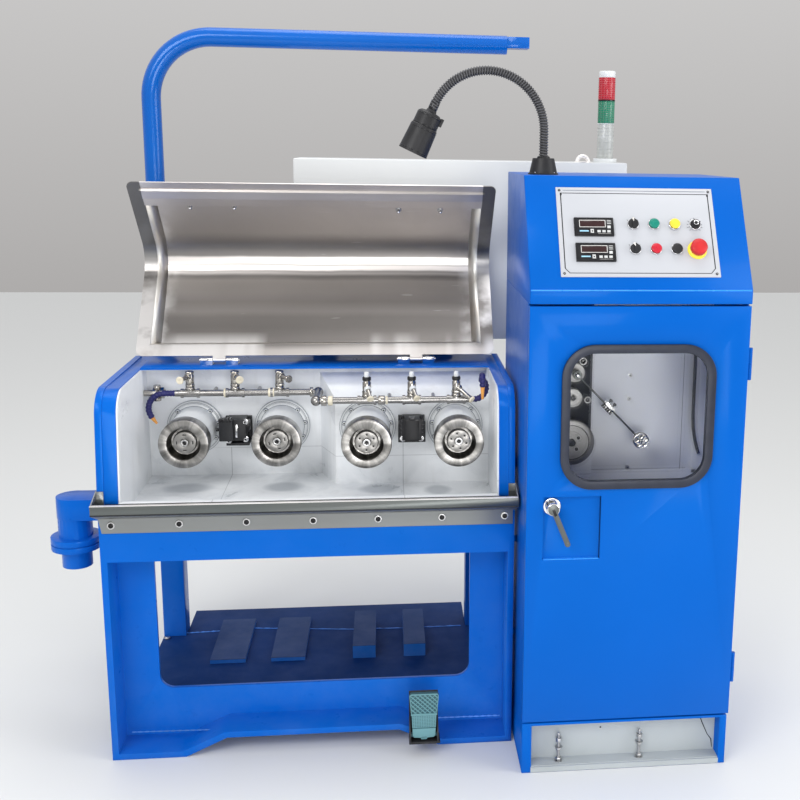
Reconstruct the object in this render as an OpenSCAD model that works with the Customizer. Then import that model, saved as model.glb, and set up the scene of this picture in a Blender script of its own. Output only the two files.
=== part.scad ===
// Wire drawing machine: four capstans in an open wet tank on a welded frame,
// with a control and take-up cabinet at its right-hand end.
// X runs to the right, Y to the back and Z up. Construction starts at the
// cabinet's front left corner, and placed() moves it to the middle of the floor area.

/* [Cabinet] */
// Width of the control cabinet
cab_w = 540; // [480:10:640]
// Depth of the control cabinet
cab_d = 505; // [450:5:600]
// Height of the plinth under the door
plinth_h = 136; // [110:2:160]
// Height of the door
door_h = 1064; // [1000:1:1110]
// Height of the upright strip between the door and the sloped control face
fold_h = 33; // [20:1:60]
// Height of the sloped control face
face_h = 262; // [255:1:290]
// Depth of the door pan
door_t = 22; // [18:1:30]
// Sheet thickness of the cabinet and door
sheet = 3; // [2:0.5:5]
// How far the control face leans back
slope_run = 155; // [120:5:200]

/* [Door] */
// Outer width of the window seal
window_w = 378; // [340:2:400]
// Outer height of the window seal
window_h = 358; // [320:2:380]
// Middle of the window from the cabinet's left side
window_x = 269; // [255:1:285]
// Middle of the window above the floor
window_z = 935; // [910:5:960]
// Width of the rubber seal seen from the front
seal_w = 21; // [14:1:26]
// Corner radius of the window seal
seal_r = 62; // [40:2:80]
// Width of the handle recess
recess_w = 143; // [120:1:160]
// Height of the handle recess
recess_h = 162; // [140:1:180]
// Depth of the handle recess
recess_d = 10; // [6:1:14]

/* [Frame] */
// Width of the frame and tank
frame_w = 1036; // [1028:4:1060]
// Gap between the frame and the cabinet
frame_gap = 9; // [5:1:20]
// How far the frame's front stands behind the cabinet's front
frame_y = 158; // [140:2:180]
// Depth of the front frame's rim
frame_d = 108; // [90:2:130]
// Width of the front frame's rim
rim_t = 16; // [12:1:24]
// Thickness of the front frame's web plate
web_t = 12; // [8:1:16]
// Underside of the frame's front beam
beam_z = 540; // [520:5:560]
// Top of the frame's front beam
beam_top = 690; // [670:5:700]
// Thickness of the front beam's face plate
beam_t = 18; // [12:1:22]
// Height of the arch between the feet
arch_h = 49; // [35:1:60]
// Bottom of the opening in the web
bay_z = 147; // [130:1:170]
// Corner radius of the opening in the web
bay_r = 38; // [25:1:50]
// Size of the square rear posts
post_w = 68; // [60:2:80]
// Front face of the rear posts
post_y = 790; // [770:5:810]
// Back of the machine
rear_y = 1000; // [980:5:1060]
// Top of the base plate
base_z = 50; // [44:1:60]
// Thickness of the base plate
base_t = 12; // [8:1:16]

/* [Tank] */
// Top of the tank's side walls
tank_top = 970; // [950:5:990]
// Tank floor
tank_floor = 650; // [640:2:660]
// Width of the tank's left wall
wall_left = 50; // [44:1:54]
// Width of the tank's right wall
wall_right = 41; // [36:1:46]
// Front of the tank's side walls just over the beam
tank_front = 159; // [156:0.5:161]
// Lean of the tank's front from the vertical
tank_lean = 6; // [5:0.5:8]
// Back face of the tank in the left half
back_left = 535; // [520:5:540]
// Back face of the tank in the right half
back_right = 425; // [415:5:440]
// Height where the right half's face starts to slope back
step_top = 893; // [880:1:900]
// Depth of the tank's top rail
rail_d = 185; // [170:5:200]
// Thickness of the white lining
liner_t = 4; // [3:1:6]

/* [Capstans] */
// Distance between capstans
capstan_pitch = 239; // [234:1:242]
// Radius of a capstan
capstan_r = 65; // [55:1:68]
// Length of a capstan's working ring
capstan_l = 50; // [40:1:55]
// Height of the two left capstans
axis_left = 792; // [780:1:800]
// Height of the two right capstans
axis_right = 815; // [805:1:825]
// Radius of the bearing flange on the tank wall
flange_r = 76; // [70:1:80]
// Radius of the bearing boss behind a capstan
boss_r = 60; // [50:1:62]
// Length of the bearing boss
boss_l = 114; // [100:1:120]
// Radius of the capstan shaft
shaft_r = 16; // [12:1:20]

/* [Lid] */
// Clearance between the closed lid and the tank rim
lid_gap = 5; // [5:1:8]
// Sheet thickness of the lid
lid_t = 3; // [2:0.5:4]
// Distance of the lid's left edge from the frame's left side
lid_left = 31; // [26:1:36]
// Distance of the lid's right edge from the frame's right side
lid_right = 23; // [22:1:28]
// Width of the flat border round the lid's tray
lid_border = 33; // [28:1:38]
// Depth of the lid's tray
lid_tray = 24; // [15:1:30]
// Bend radius of the lid's border
lid_bend = 76; // [70:1:80]
// How far the open lid leans back from the vertical
lid_back = 39.5; // [30:0.5:41]
// Height of the lid's hinge pin
hinge_z = 984; // [981:1:990]
// Distance of the lid's hinge pin from the front of the tank
hinge_y = 515; // [508:1:518]

/* [Drip lip] */
// How far the lip stands in front of the frame
lip_reach = 58; // [40:1:70]
// Height of the lip's top edge
lip_top = 705; // [700:1:715]
// Height of the lip's front wall
lip_wall = 25; // [18:1:30]
// Height of the bolted strip
strip_h = 40; // [34:1:46]

/* [Coolant] */
// Outer radius of the coolant pipe
pipe_r = 9; // [8:0.5:11]
// Height of the coolant pipe
pipe_z = 900; // [890:1:910]
// Distance from the tank's back to the pipe
pipe_out = 60; // [50:1:70]
// Radius of the segmented hose
hose_r = 7; // [5:0.5:8]

/* [Boom and lamp] */
// Radius of the boom pipe
boom_r = 27; // [20:1:30]
// Height of the boom's middle line
boom_z = 1866; // [1800:2:1900]
// Bend radius of the boom
boom_bend = 175; // [140:5:220]
// Length of the boom from its post to its tip
boom_reach = 1025; // [900:5:1100]
// Radius of the lamp's gooseneck
neck_r = 9.5; // [7:0.5:12]
// Bend radius of the gooseneck
neck_bend = 142; // [120:2:160]

/* [Electrical cabinet] */
// Width of the electrical cabinet
ecab_w = 980; // [900:10:1000]
// Depth of the electrical cabinet
ecab_d = 260; // [220:5:260]
// Bottom of the electrical cabinet
ecab_z = 1000; // [990:5:1020]
// Top of the electrical cabinet
ecab_top = 1530; // [1480:5:1600]

/* [Inside the cabinet] */
// Radius of the finishing wheel
finish_r = 54; // [45:1:60]
// Radius of the small guide wheels
guide_r = 25; // [20:1:28]
// Length of the dancer arm between its pivot and its pulley
dancer_l = 244; // [220:1:260]
// Radius of the dancer pulley
dancer_r = 21; // [16:1:24]

/* [Hidden] */
$fn = 48;

blue = [0.06, 0.38, 0.82];
dark_blue = [0.05, 0.12, 0.36];
white = [0.92, 0.93, 0.93];
steel = [0.62, 0.62, 0.60];
black = [0.06, 0.06, 0.07];

// Clearances shared by the moving pieces
run_gap = 5;
pin_gap = 0.5;
seat_gap = 0.3;

// Frame and tank, from right to left
frame_x1 = -frame_gap;
frame_x0 = frame_x1 - frame_w;
frame_mid = (frame_x0 + frame_x1) / 2;
tank_x0 = frame_x0 + wall_left;
tank_x1 = frame_x1 - wall_right;
spacer_r = 8;
pocket_d = frame_d - web_t;
foot_left = 185;
foot_right = 195;
arch_slope = 105;
bay_side = 108;
side_rail = 45;
rail_top = beam_top - 90;
rail_z = beam_z + 20;
post_in = 11;

// Tank side profile
lean_tan = tan(tank_lean);
tank_kerb = 10;
tank_corner = tank_front + (tank_top - beam_top - tank_kerb) * lean_tan;
wall_r = 68;
ridge_w = 17;
ridge_h = 3;
rail_t = 5;
shell_t = 10;
cover_t = 2;
lining_y = frame_y + beam_t + liner_t;
rail_y1 = 660;
rail_y0 = rail_y1 - rail_d;
step_slant = 45;
standoff_r = pipe_r - 4;
step_rise = 50;
step_x = frame_mid + 7;
step_back = back_right + (pipe_z - standoff_r - step_top) * (back_left - back_right) / step_rise;

// Capstans are centred between the tank's walls
capstan_out = 195;
capstan_x = [for (i = [0:3]) frame_mid + 20 + (i - 1.5) * capstan_pitch];
die_x = [(capstan_x[0] + capstan_x[1]) / 2, (capstan_x[2] + capstan_x[3]) / 2];
back_y = [back_left, back_left, back_right, back_right];
axis_z = [axis_left, axis_left, axis_right, axis_right];
tee_h = 18;
tee_l = 25;
valve_r = 13;
pipe_x = [capstan_x[0] - 40, capstan_x[3] + 43];
pipe_y = [back_left - pipe_out, back_right - pipe_out];
hose_a = [125, 140];
hose_bend = [42, 32];
hose_loop = 11;
hose_drop = 18;
nozzle_l = [22, 34];
capstan_neck = capstan_out - 16 - boss_l - run_gap - capstan_l;

// Lid profile in its closed pose, measured from the hinge pin
lid_turn = 90 - tank_lean;
lid_face = tank_top + lid_gap + lid_t - hinge_z;
lid_shift = (lid_gap + lid_t) / cos(tank_lean);
lid_corner_y = tank_corner + (lid_gap + lid_t) * lean_tan - lid_shift;
lid_l1 = hinge_y - lid_corner_y;
lid_tip_z = beam_top - 19;
lid_x0 = frame_x0 + lid_left;
lid_x1 = frame_x1 - lid_right;
lid_round = 20;
hem_w = 60;
hem_h = 11;
lid_l2 = (tank_top + lid_gap + lid_t - lid_tip_z) / cos(tank_lean);
lid_open = 90 + lid_back;
barrel_r = 6.5;
lid_start = barrel_r + 2;
hinge_pin_r = 3;
bend_steps = 12;
leaf_w = 34;
leaf_t = 3;
hinge_x = [-791, -252];
hinge_half = 1.5 * leaf_w;

// Control face
door_z0 = plinth_h + run_gap;
door_z1 = door_z0 + door_h;
box_z = door_z1 + run_gap;
fold_z = box_z + fold_h;
cab_h = fold_z + face_h;
face_a = atan2(face_h, slope_run);
plate_w = 388;
plate_h = 237;
plate_x = 75;
plate_s = 34;
plate_t = 2.5;
column_x = [258, 309, 360, 411];
row_s = [105, 171];
meter_x = 113.5;
meter_w = 96;
meter_h = 48;
meter_s = [96, 163];
button_r = 11;
bezel_r = 14;
bezel_t = 7;
press = 3;
mushroom_r = 20;

// Door, its hinge and its handle
door_x1 = cab_w - 2;
body_y = door_t + run_gap;
pin_x = cab_w + 8;
pin_y = door_t;
knuckle_r = 6;
knuckle_l = 40;
knuckle_z = [260, 1060];
recess_x = 42;
recess_z = 575;
handle_x = 64;
handle_z = 711;
handle_l = 96;
handle_a = 22.5;
handle_reach = 24;
handle_w = 13;

// Things on the inner panel
panel_y = 300;
panel_z0 = 700;
panel_z1 = box_z - sheet - 4;
panel_x1 = cab_w - 41;
panel_split = 211;
wheel_y = 262;
wheel_w = 22;
guide_x = [157, 152];
guide_z = [994, 926];
finish_x = 151;
finish_z = 805;
dancer_y = 225;
dancer_a = -45.5;
dancer_pin_r = 6;

// Boom post, lamp and stack light
boom_x = frame_x0 + 11 + post_w / 2;
boom_y = post_y + post_w / 2;
lamp_x = 59;
lamp_y = 240;
lamp_base_h = 40;
lamp_neck_z = cab_h + lamp_base_h + 67;
lamp_a = 155;
ecab_x0 = -597;
ecab_y0 = rear_y - ecab_d;
stack_x = 330;
stack_y = ecab_y0 + 80;
stand_w = 50;
stand_in = 25;
stand_x = ecab_x0 + ecab_w - 70;
lens_h = 65;
lens_gap = 4;
lens_r = 25;
lens_z = ecab_top + 116;
core_r = 8;

// Drain elbow
drain_x = -1153;
drain_y = 350;
drain_r = 43;
drain_flange_r = 63;
drain_bore = 32;
drain_z = 465;
drain_head = [600, 656];
drain_rings = [[515, 530], [533, 548]];

// Pedal
pedal_x = [-283, -207];
pedal_z = [38, 160];
pedal_t = 14;
pedal_pin_r = 4;
pedal_pin_y = frame_y - 45;
pedal_pin_z = pedal_z[0] + 20;
cheek_t = 4;

// Box that the whole machine fills, for the origin
x_min = drain_x - drain_flange_r;
x_max = pin_x + knuckle_r;
y_min = -handle_reach;
mid_x = (x_min + x_max) / 2;
mid_y = (y_min + rear_y) / 2;

// Moves a piece from the construction frame to the part frame
module placed() {
  translate([-mid_x, -mid_y, 0]) children();
}

// Block between two values on each axis
module span(x, y, z) {
  translate([x[0], y[0], z[0]]) cube([x[1] - x[0], y[1] - y[0], z[1] - z[0]]);
}

// Profile drawn in Y and Z, carried along X
module along_x(x) {
  translate([x[0], 0, 0]) rotate([90, 0, 90]) linear_extrude(x[1] - x[0]) children();
}

// Profile drawn in X and Z, carried along Y
module along_y(y) {
  translate([0, y[1], 0]) rotate([90, 0, 0]) linear_extrude(y[1] - y[0]) children();
}

module rod_x(x, y, z, r) {
  translate([x[0], y, z]) rotate([0, 90, 0]) cylinder(r = r, h = x[1] - x[0]);
}

module rod_y(x, y, z, r) {
  translate([x, y[1], z]) rotate([90, 0, 0]) cylinder(r = r, h = y[1] - y[0]);
}

module rod_z(x, y, z, r) {
  translate([x, y, z[0]]) cylinder(r = r, h = z[1] - z[0]);
}

// Rectangle with round corners, drawn from its low corner
module round_rect(w, h, r) {
  translate([r, 0]) square([w - 2 * r, h]);
  translate([0, r]) square([w, h - 2 * r]);
  for (x = [r, w - r], y = [r, h - r]) translate([x, y]) circle(r);
}

// One side of a bent sheet, depth under its outer face: a leg, an arc that turns down and a leg.
// l1 and l2 run to the sharp corner of the outer face, r is its radius.
function bent_path(l1, l2, turn, r, depth) =
  let (tangent = r * tan(turn / 2), centre = [l1 - tangent, -r])
  concat(
    [[0, -depth]],
    [for (k = [0:bend_steps]) centre + (r - depth) * [sin(turn * k / bend_steps), cos(turn * k / bend_steps)]],
    [centre + (r - depth) * [sin(turn), cos(turn)] + (l2 - tangent) * [cos(turn), -sin(turn)]]
  );

module bent_strip(l1, l2, turn, r, t) {
  inner = bent_path(l1, l2, turn, r, t);
  polygon(concat(bent_path(l1, l2, turn, r, 0), [for (k = [len(inner) - 1:-1:0]) inner[k]]));
}

// Places children on the sloped control face: x along it, y up it, z out of it
module on_face() {
  translate([0, 0, fold_z]) rotate([face_a, 0, 0]) children();
}

// Outline of the front frame with its two feet
module frame_outline() {
  polygon([
    [frame_x0, 0], [frame_x0 + foot_left, 0], [frame_x0 + foot_left + arch_slope, arch_h],
    [frame_x1 - foot_right - arch_slope, arch_h], [frame_x1 - foot_right, 0], [frame_x1, 0],
    [frame_x1, beam_top], [frame_x0, beam_top]
  ]);
}

// Area inside the rim, above the feet and below the beam
module rim_pocket() {
  polygon([
    [frame_x0 + rim_t, rim_t], [frame_x0 + foot_left - 8, rim_t],
    [frame_x0 + foot_left + arch_slope - 5, arch_h + rim_t],
    [frame_x1 - foot_right - arch_slope + 5, arch_h + rim_t], [frame_x1 - foot_right + 8, rim_t],
    [frame_x1 - rim_t, rim_t], [frame_x1 - rim_t, beam_z], [frame_x0 + rim_t, beam_z]
  ]);
}

module front_frame() {
  placed() color(blue) for (z = [2 * bay_z, beam_z + rim_t])
    rod_x([frame_x1, 0], frame_y + frame_d / 2, z, spacer_r);
  placed() color(blue) difference() {
    along_y([frame_y, frame_y + frame_d]) frame_outline();
    along_y([frame_y - 1, frame_y + pocket_d]) rim_pocket();
    span([frame_x0 + rim_t, frame_x1 - rim_t], [frame_y + beam_t, frame_y + frame_d + 1],
      [beam_z + web_t, beam_top + 1]);
    along_y([frame_y + pocket_d - 1, frame_y + frame_d + 1])
      translate([frame_x0 + bay_side, bay_z])
      round_rect(frame_w - 2 * bay_side, beam_z - bay_z + 5, bay_r);
  }
}

module rear_frame() {
  post_x = [frame_x0 + post_in, frame_x1 - post_in - post_w];
  stand_y = [ecab_y0 + stand_in, rear_y - stand_in - stand_w];
  placed() color(blue) {
    for (x = post_x) span([x, x + post_w], [post_y, post_y + post_w], [0, rail_top]);
    for (x = [post_x[0], frame_x1 - post_in - side_rail], z = [[0, base_z - base_t], [rail_z, rail_top]])
      span([x, x + side_rail], [frame_y + frame_d, post_y], z);
    span([post_x[0], post_x[1] + post_w], [post_y, post_y + post_w], [rail_z, rail_top]);
    span([post_x[1], stand_x + stand_w], [post_y + post_w, post_y + post_w + stand_w], [rail_z, rail_top]);
    for (y = stand_y) span([stand_x, stand_x + stand_w], [y, y + stand_w], [0, ecab_z]);
    for (z = [rail_z, ecab_z - side_rail])
      span([stand_x, stand_x + stand_w], [stand_y[0], stand_y[1] + stand_w], [z, z + rail_top - rail_z]);
  }
}

module base_plate() {
  pad = [[-862, 102, 12, 284], [-684, 99, 12, 284], [-442, 67, 40, 254], [-289, 64, 40, 254]];
  placed() color(dark_blue) {
    span([frame_x0 + 11, frame_x1 - 11], [frame_y + frame_d, post_y], [base_z - base_t, base_z]);
    span([frame_x0 + 11 + post_w, frame_x1 - 11 - post_w], [post_y, rear_y - 20], [base_z - base_t, base_z]);
    for (p = pad) span([p[0], p[0] + p[1]], [586, 586 + p[3]], [base_z, base_z + p[2]]);
  }
}

// Side view of a tank wall: leaning front, round corner and flat top, all set back by cut
module tank_side(cut) {
  front = tank_front + cut / cos(tank_lean);
  centre = [tank_corner + wall_r * tan(lid_turn / 2), tank_top - wall_r];
  polygon(concat(
    [[rail_y1, rail_top], [front, rail_top], [front, beam_top + tank_kerb]],
    [for (k = [0:bend_steps]) let (a = tank_lean + lid_turn * k / bend_steps)
      centre + (wall_r - cut) * [-cos(a), sin(a)]],
    [[rail_y1, tank_top - cut]]
  ));
}

// Each wall has a raised ridge along its outer edge, stands on the side rails
// and is notched over the front frame
module tank_shell() {
  placed() color(blue) {
    difference() {
      union() {
        along_x([frame_x0, frame_x0 + ridge_w]) tank_side(0);
        along_x([frame_x0 + ridge_w, tank_x0]) tank_side(ridge_h);
        along_x([tank_x1, frame_x1 - ridge_w]) tank_side(ridge_h);
        along_x([frame_x1 - ridge_w, frame_x1]) tank_side(0);
      }
      span([frame_x0 - 1, frame_x1 + 1], [frame_y, frame_y + beam_t], [rail_top - 1, beam_top]);
      for (x = [frame_x0 - 1, frame_x1 - rim_t])
        span([x, x + rim_t + 1], [frame_y, frame_y + frame_d], [rail_top - 1, beam_top]);
    }
    span([tank_x0, tank_x1], [rail_y0, rail_y1], [tank_top - rail_t, tank_top]);
  }
}

// White plate against the inside of a side wall, under the top rail and behind the beam
module lining_side() {
  difference() {
    intersection() {
      tank_side(rail_t);
      translate([frame_y, tank_floor]) square([back_left - frame_y, tank_top - tank_floor]);
    }
    translate([frame_y - 1, tank_floor - 1]) square([lining_y - frame_y + 1, beam_top - tank_floor + 1]);
  }
}

module tank_liner() {
  placed() color(white) {
    span([tank_x0, tank_x1], [frame_y + beam_t, back_left + shell_t], [tank_floor - liner_t, tank_floor]);
    span([tank_x0, tank_x1], [frame_y + beam_t, lining_y], [tank_floor, beam_top]);
    span([tank_x0, tank_x1], [tank_front + ridge_h, lining_y], [beam_top, beam_top + cover_t]);
    span([tank_x0, tank_x1], [back_left, back_left + shell_t], [tank_floor, tank_top - rail_t]);
    for (x = [tank_x0, tank_x1 - liner_t]) along_x([x, x + liner_t]) lining_side();
    intersection() {
      translate([0, 0, tank_floor]) linear_extrude(tank_top - tank_floor) polygon([
        [step_x, back_left], [step_x + step_slant, back_right], [tank_x1, back_right], [tank_x1, back_left]
      ]);
      along_x([step_x, tank_x1]) polygon([
        [back_right, tank_floor], [back_right, step_top],
        [back_left, step_top + step_rise], [back_left, tank_floor]
      ]);
    }
  }
}

// Bent stainless gutter along the front, with its bolted strip, its end plates
// and a tab over the ridge of each tank wall
module drip_lip() {
  t = 3;
  foot = beam_top - 33;
  tab_z = lip_top + 20;
  y0 = frame_y - lip_reach;
  low = lip_top - lip_wall;
  placed() color(steel) {
    along_y([frame_y - t, frame_y]) polygon([
      [frame_x0, foot], [frame_x0 + 8, foot - strip_h], [frame_x1 - 5, foot - strip_h], [frame_x1 - 5, foot]
    ]);
    along_x([frame_x0 - t, frame_x1 + t]) {
      polygon([[frame_y, foot - t], [frame_y, foot], [y0, low + t], [y0, low]]);
      polygon([[y0, low], [y0 + t, low], [y0 + t, lip_top], [y0, lip_top]]);
      polygon([[y0 + t, lip_top - t], [y0 + 8, lip_top - t], [y0 + 8, lip_top], [y0 + t, lip_top]]);
    }
    for (x = [frame_x0 - t, frame_x1]) along_x([x, x + t]) polygon([
      [y0, low], [frame_y, foot - t], [tank_front + 50, foot + 12],
      [tank_front + 50, tab_z], [tank_front, tab_z],
      [y0, lip_top]
    ]);
    for (x = [frame_x0 - t, frame_x1 - ridge_w])
      span([x, x + ridge_w + t], [tank_front - t, tank_front], [beam_top, tab_z]);
  }
}

// Square head with a round left end, two flange rings and an open lower pipe
module drain_elbow() {
  placed() color(blue) difference() {
    union() {
      span([drain_x, frame_x0], [drain_y - drain_r, drain_y + drain_r], drain_head);
      rod_z(drain_x, drain_y, drain_head, drain_r + 1);
      rod_z(drain_x, drain_y, [drain_rings[1][0], drain_head[0]], drain_r);
      for (z = drain_rings) rod_z(drain_x, drain_y, z, drain_flange_r);
      rod_z(drain_x, drain_y, [drain_rings[0][1], drain_rings[1][0]], drain_flange_r - 3);
      rod_z(drain_x, drain_y, [drain_z, drain_rings[0][0]], drain_r - 5);
    }
    rod_z(drain_x, drain_y, [drain_z - 1, drain_head[1] - 16], drain_bore);
  }
}

module gearbox_housing() {
  x0 = frame_x0 + 11 + post_w + 8;
  x1 = frame_x1 - 11 - post_w - 8;
  placed() color(blue) {
    span([x0, x1], [back_left + 10, post_y + post_w], [beam_top - 90, tank_top - 20]);
    span([x0 + 30, x1 - 30], [post_y + post_w, post_y + post_w + 70], [beam_top - 60, tank_top - 50]);
    for (x = [ecab_x0 + 40, x1 - 110])
      span([x, x + 70], [ecab_y0 + 20, post_y + post_w], [tank_top - 20, ecab_z]);
  }
}

module capstan_housings() {
  placed() color(white) for (i = [0:3]) difference() {
    union() {
      rod_y(capstan_x[i], [back_y[i] - 10, back_y[i]], axis_z[i], flange_r);
      rod_y(capstan_x[i], [back_y[i] - 16, back_y[i]], axis_z[i], flange_r - 8);
      rod_y(capstan_x[i], [back_y[i] - 16 - boss_l, back_y[i]], axis_z[i], boss_r);
    }
    rod_y(capstan_x[i], [back_y[i] - 16 - boss_l - 1, back_y[i] - 16], axis_z[i], shaft_r + pin_gap);
  }
}

// Steel ring with a coned recess, a hub disc and a short shaft
module capstan(i) {
  y0 = back_y[i] - capstan_out;
  y1 = y0 + capstan_l;
  placed() color(steel) translate([capstan_x[i], y0, axis_z[i]]) rotate([-90, 0, 0]) {
    rotate_extrude() polygon([
      [0, 16], [10, 16], [10, 20], [29, 20], [29, 34], [36, 34], [44, 0], [capstan_r - 2, 0], [capstan_r, 2],
      [capstan_r, capstan_l - 4], [capstan_r - 4, capstan_l], [44, capstan_l], [44, capstan_l + capstan_neck],
      [shaft_r, capstan_l + capstan_neck], [shaft_r, capstan_l + capstan_neck + 60],
        [0, capstan_l + capstan_neck + 60]
    ]);
  }
}
module capstan_1() capstan(0);
module capstan_2() capstan(1);
module capstan_3() capstan(2);
module capstan_4() capstan(3);

// Black die boxes on brackets between the capstans
module die_holders() {
  placed() color(black) for (i = [0, 1]) translate([die_x[i], back_y[i * 2], axis_z[i * 2]]) {
    span([-36, 36], [-12, 0], [-36, 30]);
    span([-26, 26], [-70, -12], [-26, 34]);
  }
}

// Left and right runs of the coolant pipe, joined by two elbows, with a tee under each valve
module coolant_manifold() {
  jog_x = step_x - 2;
  stops = [capstan_x[0], die_x[0], capstan_x[1], capstan_x[2], die_x[1], capstan_x[3]];
  placed() color(steel) {
    rod_x([pipe_x[0], jog_x], pipe_y[0], pipe_z, pipe_r);
    rod_y(jog_x, [pipe_y[1], pipe_y[0]], pipe_z, pipe_r + 2);
    rod_x([jog_x, pipe_x[1]], pipe_y[1], pipe_z, pipe_r);
    for (y = pipe_y) translate([jog_x, y, pipe_z]) sphere(pipe_r + 5);
    for (x = [capstan_x[0] + 60, capstan_x[1] - 60]) rod_y(x, [pipe_y[0], back_left], pipe_z, standoff_r);
    for (x = [capstan_x[2] + 60, capstan_x[3] - 60]) rod_y(x, [pipe_y[1], step_back], pipe_z, standoff_r);
    for (i = [0:5]) {
      y = pipe_y[i < 3 ? 0 : 1];
      rod_x([stops[i] - tee_l, stops[i] + tee_l], y, pipe_z, pipe_r + 2);
      for (x = [stops[i] - tee_l, stops[i] + tee_l - 7]) rod_x([x, x + 7], y, pipe_z, pipe_r + 4);
      rod_z(stops[i], y, [pipe_z, pipe_z + tee_h], pipe_r + 1);
    }
  }
}

// Hexagonal valve with a knob; its spray tube leaves forwards, turned and tilted down
module spray_valve(at, body_h, knob, tube_z, tilt, turn) {
  translate([at[0], at[1], pipe_z + tee_h]) {
    cylinder(r = valve_r, h = body_h, $fn = 6);
    translate([0, 0, body_h]) cylinder(r = knob[0], h = knob[1]);
    translate([0, 0, tube_z]) rotate([0, 0, turn]) rotate([90 + tilt, 0, 0]) {
      cylinder(r = 8, h = valve_r + 6);
      cylinder(r = 5, h = 48);
    }
  }
}

module spray_valves() {
  left = [[capstan_x[0], -23], [die_x[0], 23], [capstan_x[1], 37]];
  right = [[capstan_x[2], 15], [die_x[1], 19], [capstan_x[3], 54]];
  placed() color(steel) {
    for (v = left) spray_valve([v[0], pipe_y[0]], 38, [9, 5], 30, 20, v[1]);
    for (v = right) spray_valve([v[0], pipe_y[1]], 36, [8, 24], 20, 35, v[1]);
  }
}

// Segmented hoses: the left one curls out and down, the right one up, forwards and down
module coolant_hoses() {
  placed() color([0.10, 0.10, 0.35]) {
    translate([pipe_x[0], pipe_y[0], pipe_z]) {
      rod_x([-30, 0], 0, 0, hose_r);
      translate([-30, 0, -hose_bend[0]]) rotate([90, 0, 0]) rotate([0, 0, 90])
        rotate_extrude(angle = hose_a[0]) translate([hose_bend[0], 0]) circle(hose_r);
    }
    translate([pipe_x[1], pipe_y[1], pipe_z]) {
      rod_x([0, 6], 0, 0, hose_r);
      translate([6, 0, hose_bend[1]]) rotate([90, 0, 0]) {
        rotate([0, 0, -90]) rotate_extrude(angle = hose_a[1]) translate([hose_bend[1], 0]) circle(hose_r);
      }
      translate([6 + hose_bend[1] * sin(hose_a[1]), -hose_loop, hose_bend[1] * (1 - cos(hose_a[1]))]) {
        rotate([90, 0, 90]) rotate_extrude(angle = 180) translate([hose_loop, 0]) circle(hose_r);
        rod_z(0, -hose_loop, [-hose_drop, 0], hose_r);
        rod_z(0, hose_loop, [-8, 2], hose_r + 2);
      }
    }
  }
}

module hose_nozzles() {
  placed() color([0.85, 0.5, 0.15]) {
    translate([pipe_x[0] - 30, pipe_y[0], pipe_z - hose_bend[0]]) rotate([0, -hose_a[0], 0])
      translate([0, 0, hose_bend[0]]) rotate([0, -90, 0]) cylinder(r1 = hose_r - 1, r2 = 3, h = nozzle_l[0]);
    translate([pipe_x[1] + 6 + hose_bend[1] * sin(hose_a[1]), pipe_y[1] - 2 * hose_loop,
      pipe_z + hose_bend[1] * (1 - cos(hose_a[1])) - hose_drop - nozzle_l[1]])
      cylinder(r1 = 3, r2 = hose_r - 1, h = nozzle_l[1]);
  }
}

// Side view of a bent layer of the closed lid, measured from the hinge pin. It lies between
// two heights over the border's outer face and stops short of the lid's ends by inset.
module lid_layer(inset, low, high) {
  swell = high * tan(lid_turn / 2);
  translate([lid_start + inset, lid_face + high])
    bent_strip(lid_l1 - lid_start - inset + swell, lid_l2 - inset + swell,
      lid_turn, lid_bend + high, high - low);
}

// Waste outside a rounded corner at the origin, for a plate that lies towards +X and +Y
module corner_waste() {
  polygon(concat([[lid_round, -1], [-1, -1], [-1, lid_round]], [
    for (k = [0:bend_steps]) lid_round * [1 - cos(90 * k / bend_steps), 1 - sin(90 * k / bend_steps)]
  ]));
}

// Moves to the lid's tip: X back along the front leg, Y inwards from its outer face
module at_tip() {
  translate([lid_l1 + lid_l2 * cos(lid_turn), lid_face - lid_l2 * sin(lid_turn)])
    rotate(180 - lid_turn) children();
}

// Flat border with a raised tray, hollow from inside, and a folded hem across its tip
module lid_closed() {
  inner = lid_border + lid_t;
  difference() {
    union() {
      along_x([lid_x0, lid_x1]) lid_layer(0, -lid_t, 0);
      along_x([lid_x0 + lid_border, lid_x1 - lid_border]) lid_layer(lid_border, -lid_t / 2, lid_tray);
    }
    along_x([lid_x0 + inner, lid_x1 - inner]) lid_layer(inner, -lid_t - 1, lid_tray - lid_t);
    for (side = [0, 1]) translate([side == 0 ? lid_x0 : lid_x1, 0, 0]) mirror([side, 0, 0]) {
      translate([0, lid_start, lid_face - 2 * lid_t]) linear_extrude(3 * lid_t) corner_waste();
      translate([0, lid_l1 + lid_l2 * cos(lid_turn), lid_face - lid_l2 * sin(lid_turn)])
        rotate([180 - lid_turn, 0, 0]) translate([0, 0, -lid_t]) linear_extrude(3 * lid_t) corner_waste();
    }
  }
  along_x([lid_x0 + lid_border - 2, lid_x1 - lid_border + 2]) at_tip() translate([lid_border - 9, 0]) polygon([
    [0, lid_t - 1], [3, hem_h - 2], [hem_w / 2, hem_h], [hem_w / 2 + 2, hem_h - 2], [hem_w, hem_h - 3],
    [hem_w, lid_t + 2], [9, lid_t + 2], [9, lid_t - 1]
  ]);
}

module lid() {
  placed() color(steel) translate([0, hinge_y, hinge_z]) rotate([-lid_open, 0, 0]) {
    mirror([0, 1, 0]) lid_closed();
    for (x = hinge_x) {
      rod_x([x - leaf_w / 2, x + leaf_w / 2], 0, 0, barrel_r);
      span([x - leaf_w / 2, x + leaf_w / 2], [-14, 0], [lid_face - lid_t, 0]);
      rod_x([x - hinge_half - leaf_t, x + hinge_half + leaf_t], 0, 0, hinge_pin_r);
    }
  }
}

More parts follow.
